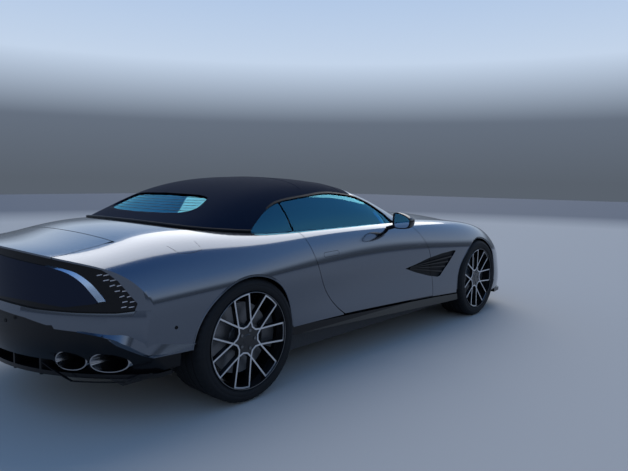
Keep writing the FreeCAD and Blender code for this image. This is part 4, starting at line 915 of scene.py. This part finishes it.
# Tail: shield, recess shelf in painted shade, raised panel in painted shade with its bevel in painted sky
# reflection, lamp dashes with painted glints, diffuser and exhaust tips
SHIELD_R = TAIL_RADIUS - 18.0
shield_edge = [(y * 0.9985, z + 0.3 if z < 650 or y > 860 else z - 4.0) for y, z in RECESS]
shield = meet(behind_tail(SHIELD_R - 16, SHIELD_R, across(shield_edge)), outer)
piece("tail_shield", shield, "gloss_black", hides=["rear_shield"])
# A thin black strip over the upward-facing shelf at the foot of the recess: painted shade.
foot = [p for p in RECESS if p[1] < 670]
strip = [(y, z + 2.2) for y, z in foot] + [(y, z + 0.4) for y, z in reversed(foot)]
shelf_shade = meet(behind_tail(TAIL_RADIUS - 58, TAIL_RADIUS - 1.5, strip), outer)
piece("recess_painted_shade", both(shelf_shade), "gloss_black")
BEVEL_IN = [(546, 836), (620, 817), (668, 793), (708, 757), (742, 708), (766, 669)]
BEVEL_OUT = [(546, 841), (634, 822), (682, 803), (730, 761), (764, 711), (783, 673)]
INSERT_IN = [(0, 672), (442, 660), (629, 640), (752, 661), *smoothed(BEVEL_IN[::-1], 5), (248, 875),
             (0, 890)]
raised = behind_tail(SHIELD_R - 1, SHIELD_R + 9, across(INSERT_IN))
# The raised panel is body paint, shown in the darker copy as painted shade.
piece("tail_insert", raised, "body_paint", material=SHADED_BODY_PAINT)


def bevel():
    """The sloping edge of the raised panel on the left side, lighter and bluer than the body paint as a
    painted reflection of the sky.
    """
    rows = list(zip(smoothed(BEVEL_OUT, 5), smoothed(BEVEL_IN, 5)))
    verts = []
    for (y0, z0), (y1, z1) in rows:
        verts += [drum(y0, z0, SHIELD_R + 1), drum(y1, z1, SHIELD_R + 9), drum(y1, z1, SHIELD_R - 2),
                  drum(y0, z0, SHIELD_R - 2)]
    return lofted(verts, 4)


piece("tail_bevels", both(bevel()), "body_paint", material=SKY_REFLECTION_PAINT)
# Columns: y and z of a dash's lower end, y and z of its upper end.
LAMPS = [(757, 798, 777, 803), (780, 773, 801, 778), (802, 747, 820, 753), (819, 722, 836, 725),
         (834, 694, 850, 700), (843, 669, 859, 673), (839, 643, 856, 647)]
dashes = []
for y0, z0, y1, z1 in LAMPS:
    for shift in (0, 24):
        a, b = y0 + shift, y1 + shift - 3
        dash = [(a, z0 - 2.4), (b, z1 - 2.4), (b, z1 + 2.4), (a, z0 + 2.4)]
        dashes.append(behind_tail(SHIELD_R - 8, SHIELD_R + 3.5, dash))
# The dashes are pale grey as painted glints; the lamps themselves are unlit red.
piece("lamp_dashes", both(joined(*dashes)), "red_lens", hides=["tail_lamps"], material=PALE_LENS_AND_GLINT)

EXHAUSTS = [(573, 353), (733, 350)]
TIP_R = TAIL_RADIUS - 76


def oval(y, z, half_y, half_z, x0, x1, count=72):
    """A prism along the car over a long oval with squared shoulders."""
    points = []
    for turn in circle(count):
        c, s = (math.copysign(abs(v) ** 0.9, v) for v in turn)
        points.append((y + half_y * c, z + half_z * s))
    return front_prism(points, x0, x1)


TRAY_R = TAIL_RADIUS - 92
tray = meet(ring_prism(300, TRAY_R, 262, 284), box((REAR_END, -1800), (-880, 880), (0, 1000)))
for y in (-390, -195, 0, 195, 390):
    tray = fuse(tray, meet(ring_prism(TAIL_RADIUS - 400, TRAY_R, 256, 352),
                           box((REAR_END, -1900), (y - 6, y + 6), (0, 1000))))
diffuser = fuse(diffuser, tray)
tips, plugs = [], []
reach = cylinder((TAIL_AXIS_X, 0, 200), (TAIL_AXIS_X, 0, 600), TIP_R, 256)
for y, z in EXHAUSTS:
    bore = oval(y, z, 74.5, 50.5, -2500, -1900)
    diffuser = cut(diffuser, both(bore))
    pipe = cut(oval(y, z, 74, 50, -2490, -1900), oval(y, z, 69.5, 45.5, -2500, -1890))
    tips.append(meet(pipe, reach))
    plug_x = -2040 + (y - 573) * 0.75
    plugs.append(oval(y, z, 69.4, 45.4, plug_x, plug_x + 10))
piece("diffuser_body", diffuser, "gloss_black", hides=["rear_diffuser"], material=SATIN_DARK)
piece("exhaust_ovals", both(joined(*tips)), "dark_chrome", hides=["exhaust_tips"], angle=40)
piece("exhaust_depths", both(joined(*plugs)), "satin_black")
POD_EDGE = [(470, 345), (507, 313), (590, 252), (800, 255), (893, 299)]


def pod_edge():
    """A thin bright line round the foot of the left diffuser pod."""
    points = along(POD_EDGE, 25)
    verts = []
    for y, z in points:
        x = drum(y, z, TAIL_RADIUS - 28 - 100 * max(0.0, (400 - z) / 300.0) * 0.75)[0]
        verts += [(x - 4, y, z - 2), (x - 4, y, z + 3), (x + 6, y, z + 3), (x + 6, y, z - 2)]
    return lofted(verts, 4)


piece("pod_edges", both(pod_edge()), "gloss_black")
FLAP = [(-1760, -786), (-1735, -852), (-1674, -869), (-1640, -871), (-1598, -868), (-1598, -801)]
piece("fuel_flap_line", groove(FLAP, on_top, 2.4), "satin_black")


def button(place, normal, radius, rise):
    """A small round sensor on the skin."""
    return cylinder(place - normal * 3, place + normal * rise, radius, 24)


sensors = [button(*on_tail(y, 545), 9.5, 1.2) for y in (-300, 300)]
sensors += [button(*on_side(-1815, 520, s), 9.5, 1.2) for s in (-1, 1)]
piece("parking_sensors", joined(*sensors), "satin_black")


def ribbon(rows, find, depth=3.0):
    """A facet between two lines on the skin. Columns: the two points and their heights over it."""
    verts = []
    for (a, lift_a), (b, lift_b) in rows:
        (pa, na), (pb, nb) = find(*a), find(*b)
        verts += [pa + na * lift_a, pb + nb * lift_b, pb - nb * depth, pa - na * depth]
    return lofted(verts, 4)


FANG_HIGH = [(690, 528), (733, 523), (809, 512), (866, 508), (915, 468), (945, 412)]
FANG_MID = [(690, 527), (760, 512), (815, 496), (860, 470), (895, 430), (928, 394)]
FANG_LOW = [(690, 526), (745, 517), (803, 494), (826, 460), (868, 424), (914, 386)]
facets = [ribbon([((a, lift_a), (b, lift_b)) for a, b in zip(smoothed(high, 4), smoothed(low, 4))], on_tail)
          for high, low, lift_a, lift_b in (
              (FANG_HIGH, FANG_MID, 0.3, 15.0), (FANG_MID, FANG_LOW, 12.0, 1.0))]
piece("bumper_facets", both(joined(*facets)), "body_paint", angle=20)


# Side vents: a black floor and blades in the recess behind each front wheel
VENT_TIP, VENT_FRONT_TOP, VENT_FRONT_LOW = (334, 574), (1066, 652), (850, 452)


VENT_BLADES = 4


def vent_blade(k):
    """A blade that tapers towards the vent's rear tip; k counts from the top."""
    share = k / (VENT_BLADES + 1)
    x1, z1 = (a + (b - a) * share for a, b in zip(VENT_FRONT_TOP, VENT_FRONT_LOW))
    x0, z0 = (t + (f - t) * 0.12 for t, f in zip(VENT_TIP, (x1, z1)))
    return side_prism([(x0, z0 - 2), (x1, z1 - 7), (x1, z1 + 7), (x0, z0 + 2)], 800, BEYOND)


def layer(tool, near, far, stations=BODY_STATIONS):
    """What a prism cuts from the layer between two depths under a skin."""
    return cut(meet(tool, skin_solid(stations, near, 8, 10)), skin_solid(stations, far, 8, 10))


vent_tool = side_prism(VENT, 800, BEYOND)
vent_floor_plate = layer(vent_tool, 15.2, 17.5)
vent_bars = joined(*[layer(vent_blade(k), 1.5, 16.5) for k in range(1, VENT_BLADES + 1)])
for label, mesh, slot in (("floor", vent_floor_plate, "satin_black"), ("blades", vent_bars, "gloss_black")):
    on_door = meet(mesh, door_prism(PANEL_GAP / 2))
    off_door = cut(mesh, door_prism(-PANEL_GAP / 2, 760))
    on_doors("door_vent_" + label, on_door, slot)
    piece("fender_vent_" + label, both(off_door), slot, hides=["side_vents"] if label == "blades" else [])


# Rolled lips round the wheel arches
def arch_lip(axle_x, radius, start, end, count=72):
    """A rounded lip that follows the arch's edge on the left side, between two angles in degrees."""
    section = [(1.0, -16.0), (1.0, -4.0), (-1.5, 1.2), (-8.0, 2.2), (-13.0, -0.5), (-13.5, -16.0)]
    verts = []
    for i in range(count + 1):
        t = math.radians(start + (end - start) * i / count)
        c, s = math.cos(t), math.sin(t)
        place, _ = on_side(axle_x + (radius + 3) * c, TYRE_RADIUS + (radius + 3) * s, 1)
        for dr, dy in section:
            r = radius + dr
            verts.append((axle_x + r * c, place.y + dy, TYRE_RADIUS + r * s))
    return lofted(verts, len(section))


piece("rear_arch_lips", both(arch_lip(REAR_AXLE_X, 379.0, 1.5, 176.5)), "body_paint")
piece("front_arch_lips", both(arch_lip(FRONT_AXLE_X, 391.0, -9.0, 189.0)), "body_paint")

# Door handles: a flush plate in a fine outline on each door
HANDLE = [(-676, 772), (-668, 764), (-520, 766), (-512, 774), (-512, 788), (-522, 796), (-664, 794),
          (-676, 786)]
handle = groove(HANDLE + HANDLE[:1], lambda x, z: on_side(x, z, 1), 2.4)
on_doors("handle", handle, "satin_black")


# Seals and trims of the roof and windows
heater = []
for k in range(6):
    z = 1068 + 15.0 * k
    half = 445 - 6.0 * abs(k - 1)
    wire = box((-1700, -1100), (-half, half), (z, z + 0.8))
    heater.append(layer(wire, 7.0, 7.9, CABIN_STATIONS))
piece("heater_lines", joined(*heater), "satin_black")
upper_edge = [(x, z) for x, z in WINDOW if -1000 < x < 395]
seal_tool = cabin_side(upper_edge + [(x, z + 11) for x, z in reversed(upper_edge)])
pillar_tool = cabin_side([(334, 981), (404, 921), (374, 921), (310, 1002)])
seals = joined(layer(seal_tool, -0.4, 9.0, CABIN_STATIONS),
               cut(layer(pillar_tool, 1.0, 15.0, CABIN_STATIONS), core))
piece("window_seals", both(seals), "satin_black", angle=12)


ROOF_MIDDLE = -1000.0


def roof_foot(angle):
    """Where the soft top meets the deck, in a direction from the cabin's middle."""
    low, high = 250.0, 1150.0
    for _ in range(24):
        r = (low + high) / 2
        x, y = ROOF_MIDDLE - r * math.cos(angle), r * math.sin(angle)
        roof, deck = under(CABIN_TREE, x, y), under(SKIN_TREE, x, y)
        if roof is not None and (deck is None or roof.z > deck.z):
            low = r
        else:
            high = r
    return on_top(ROOF_MIDDLE - low * math.cos(angle), low * math.sin(angle))


def tube(points, radius, sides=10):
    """A round tube through points."""
    verts = []
    for i, p in enumerate(points):
        ahead = (points[min(i + 1, len(points) - 1)] - points[max(i - 1, 0)]).normalized()
        side = ahead.cross(Vector((0, 0, 1))).normalized()
        up = side.cross(ahead)
        verts += [p + (side * c + up * s) * radius for c, s in circle(sides)]
    return lofted(verts, sides)


feet = [roof_foot(t)[0] for t in np.linspace(-1.36, 1.36, 121)]
piece("roof_foot_seal", tube([p + Vector((0, 0, 6)) for p in feet], 9.0), "satin_black")
SEAM_X = (-560, -120)
seams = []
for x in SEAM_X:
    run = [under(CABIN_TREE, x, y) / MM + Vector((0, 0, 0.2)) for y in np.linspace(-600, 600, 61)]
    seams.append(tube(run, 1.6, 6))
piece("roof_seams", joined(*seams), "top_fabric")


# Seats: the plain solids rounded and crowned
def softened(mesh, voxel, rounds):
    """A mesh rebuilt on fine voxels and smoothed, as padding is."""
    scratch = placed("scratch", mesh)
    remesh = scratch.modifiers.new("remesh", "REMESH")
    remesh.mode = "VOXEL"
    remesh.voxel_size = voxel
    smooth = scratch.modifiers.new("smooth", "SMOOTH")
    smooth.factor = 0.5
    smooth.iterations = rounds
    return modified(scratch)


CUSHION = [(-640, 176), (-640, 330), (-600, 352), (-380, 356), (-180, 396), (-120, 388), (-98, 350),
           (-112, 176)]
BACKREST = [(-640, 300), (-590, 360), (-700, 700), (-760, 880), (-800, 905), (-840, 895), (-850, 860),
            (-760, 400), (-730, 176), (-660, 176)]
BOLSTER = [(-630, 300), (-540, 380), (-640, 690), (-715, 820), (-760, 800), (-720, 500), (-690, 300)]
THIGH = [(-560, 300), (-540, 400), (-380, 410), (-170, 432), (-120, 400), (-110, 300)]
HEADREST = [(-790, 880), (-745, 890), (-765, 1010), (-800, 1030), (-845, 1020), (-850, 890)]
squabs = {"cushion": side_prism(CUSHION, 248, 582), "backrest": side_prism(BACKREST, 248, 582),
          "headrest": side_prism(HEADREST, 310, 520)}
for y in (172, 583):
    squabs["bolster_" + str(y)] = side_prism(BOLSTER, y, y + 75)
    squabs["thigh_" + str(y)] = side_prism(THIGH, y, y + 75)
for label, mesh in squabs.items():
    soft = softened(mesh, 0.008, 14)
    hides = ["seats"] if label == "cushion" else []
    for side, shape in (("left", soft), ("right", mirrored(soft))):
        obj = piece("seat_" + label + "_" + side, shape, "hide", hides=hides, angle=180)


# Mirrors: housing, glass and stalk
MIRROR_PLACE = (100.0, 1010.0, 966.0)
MIRROR_OUTLINE = [(-76, 56), (-40, 66), (20, 52), (66, 28), (81, 2), (72, -34), (40, -54), (-40, -58),
                  (-74, -46), (-82, 0)]
MIRROR_SECTIONS = [(0, 0.86), (2, 0.97), (22, 1.0), (50, 0.99), (82, 0.92), (110, 0.76), (130, 0.52),
                   (137, 0.30)]


def mirror_form(sections):
    """A form of scaled outlines across the car. Columns: depth forward, scale."""
    outline = smoothed(MIRROR_OUTLINE + MIRROR_OUTLINE[:1], 5)[:-1]
    x, y, z = MIRROR_PLACE
    verts = [(x + dx, y + dy * k - dx * 0.12, z + dz * k) for dx, k in sections for dy, dz in outline]
    return lofted(verts, len(outline))


housing = cut(mirror_form(MIRROR_SECTIONS), mirror_form([(-8, 0.85), (9, 0.85)]))
stalk = cut(cylinder((150, 850, 902), (158, 968, 938), 16, 32), outer)
glass_plate = mirror_form([(6.5, 0.84), (8.9, 0.84)])
on_doors("mirror_housing", housing, "gloss_black", "mirror")
on_doors("mirror_stalk", stalk, "gloss_black")
on_doors("mirror_plate", glass_plate, "dark_chrome", material=MIRROR)


# Headlamps: clear cover, dark bowl and light strips
def plan_layer(points, near, far):
    return layer(both(plan_prism(points, 560, 900)), near, far)


cover_mesh = cut(meet(outer, head_tools), skin_solid(BODY_STATIONS, 4.0, 10, 12))
piece("headlamp_covers", cover_mesh, "clear_lens", hides=["headlamps"], material=CLEAR_GLASS)
piece("headlamp_bowls", plan_layer(HEADLAMP, 20.0, 27.0), "satin_black")
STRIP = [(2000, 815), (2060, 690), (2200, 600), (2280, 520), (2290, 535), (2208, 622), (2074, 708),
         (2012, 830)]
piece("daylight_strips", plan_layer(STRIP, 8.0, 19.5), "clear_lens", material=PALE_LENS_AND_GLINT)
EYES = [(2050, 775), (2110, 730), (2170, 680)]
EYE_RADIUS = 22.0
for k, (x, y) in enumerate(EYES):
    rim = [(x + EYE_RADIUS * c, y + EYE_RADIUS * s) for c, s in circle(24)]
    piece("headlamp_eye_" + str(k), plan_layer(rim, 10.0, 19.6), "dark_chrome", material=MIRROR)


# Floor, light and camera
FLOOR_NEAR, FLOOR_FAR = (0.46, 0.44, 0.41), (0.13, 0.14, 0.16)


def floor():
    mesh = bpy.data.meshes.new("floor")
    half = 40.0
    corners = [(-half, -half, 0), (half, -half, 0), (half, half, 0), (-half, half, 0)]
    mesh.from_pydata(corners, [], [(0, 1, 2, 3)])
    obj = placed("floor", mesh)
    material, tree, bsdf = shader("floor_pale", FLOOR_NEAR, 0.85)
    place = tree.nodes.new("ShaderNodeTexCoord")
    reach = tree.nodes.new("ShaderNodeVectorMath")
    reach.operation = "LENGTH"
    fade = tree.nodes.new("ShaderNodeMapRange")
    fade.inputs["From Min"].default_value = 9.0
    fade.inputs["From Max"].default_value = 24.0
    tree.links.new(place.outputs["Object"], reach.inputs[0])
    tree.links.new(reach.outputs["Value"], fade.inputs["Value"])
    vary(tree, bsdf, fade.outputs["Result"], FLOOR_NEAR, FLOOR_FAR)
    mesh.materials.append(material)


floor()


def sky():
    """A sky that is dark and low at the horizon, pale above it and blue overhead."""
    world = bpy.data.worlds.new("studio")
    bpy.context.scene.world = world
    world.use_nodes = True
    tree = world.node_tree
    place = tree.nodes.new("ShaderNodeTexCoord")
    split = tree.nodes.new("ShaderNodeSeparateXYZ")
    ramp = tree.nodes.new("ShaderNodeValToRGB")
    tree.links.new(place.outputs["Generated"], split.inputs["Vector"])
    tree.links.new(split.outputs["Z"], ramp.inputs["Fac"])
    tree.links.new(ramp.outputs["Color"], tree.nodes["Background"].inputs["Color"])
    tree.nodes["Background"].inputs["Strength"].default_value = SKY_STRENGTH
    stops = ramp.color_ramp.elements
    stops[0].position, stops[0].color = SKY[0][0], (*SKY[0][1], 1.0)
    stops[1].position, stops[1].color = SKY[-1][0], (*SKY[-1][1], 1.0)
    for position, colour in SKY[1:-1]:
        stops.new(position).color = (*colour, 1.0)


SKY_STRENGTH = 1.0
SKY = [(0.0, (0.10, 0.12, 0.15)), (0.10, (0.13, 0.16, 0.21)), (0.20, (0.55, 0.66, 0.82)),
       (0.50, (0.24, 0.42, 0.74)), (1.0, (0.09, 0.22, 0.52))]
sky()
sun_data = bpy.data.lights.new("sun", "SUN")
sun_data.energy = 1.4
sun_data.angle = math.radians(55)
sun_data.color = (1.0, 0.94, 0.84)
sun = placed("sun", sun_data)
sun.rotation_euler = Vector((5.0, 3.5, 6.0)).to_track_quat("Z", "Y").to_euler()

CAMERA_PLACE = Vector((-3.3814, -3.2716, 1.2616))
CAMERA_YAW, CAMERA_PITCH, CAMERA_ROLL = 0.8387, 0.0990, 0.0115
CAMERA_LENS = 31.82
SENSOR = 36.0


def photo_camera():
    """The photograph's camera. Yaw is from +Y towards +X, pitch is down, roll is about the view."""
    data = bpy.data.cameras.new("camera")
    data.lens, data.sensor_width = CAMERA_LENS, SENSOR
    camera = placed("camera", data)
    sin_y, cos_y = math.sin(CAMERA_YAW), math.cos(CAMERA_YAW)
    cos_p, sin_p = math.cos(CAMERA_PITCH), math.sin(CAMERA_PITCH)
    forward = Vector((sin_y * cos_p, cos_y * cos_p, -sin_p))
    level = Vector((cos_y, -sin_y, 0))
    upright = level.cross(forward)
    right = level * math.cos(CAMERA_ROLL) + upright * math.sin(CAMERA_ROLL)
    up = upright * math.cos(CAMERA_ROLL) - level * math.sin(CAMERA_ROLL)
    turn = Matrix((right, up, -forward)).transposed()
    camera.matrix_world = Matrix.Translation(CAMERA_PLACE) @ turn.to_4x4()
    bpy.context.scene.camera = camera


photo_camera()
bpy.context.scene.view_settings.view_transform = "Standard"
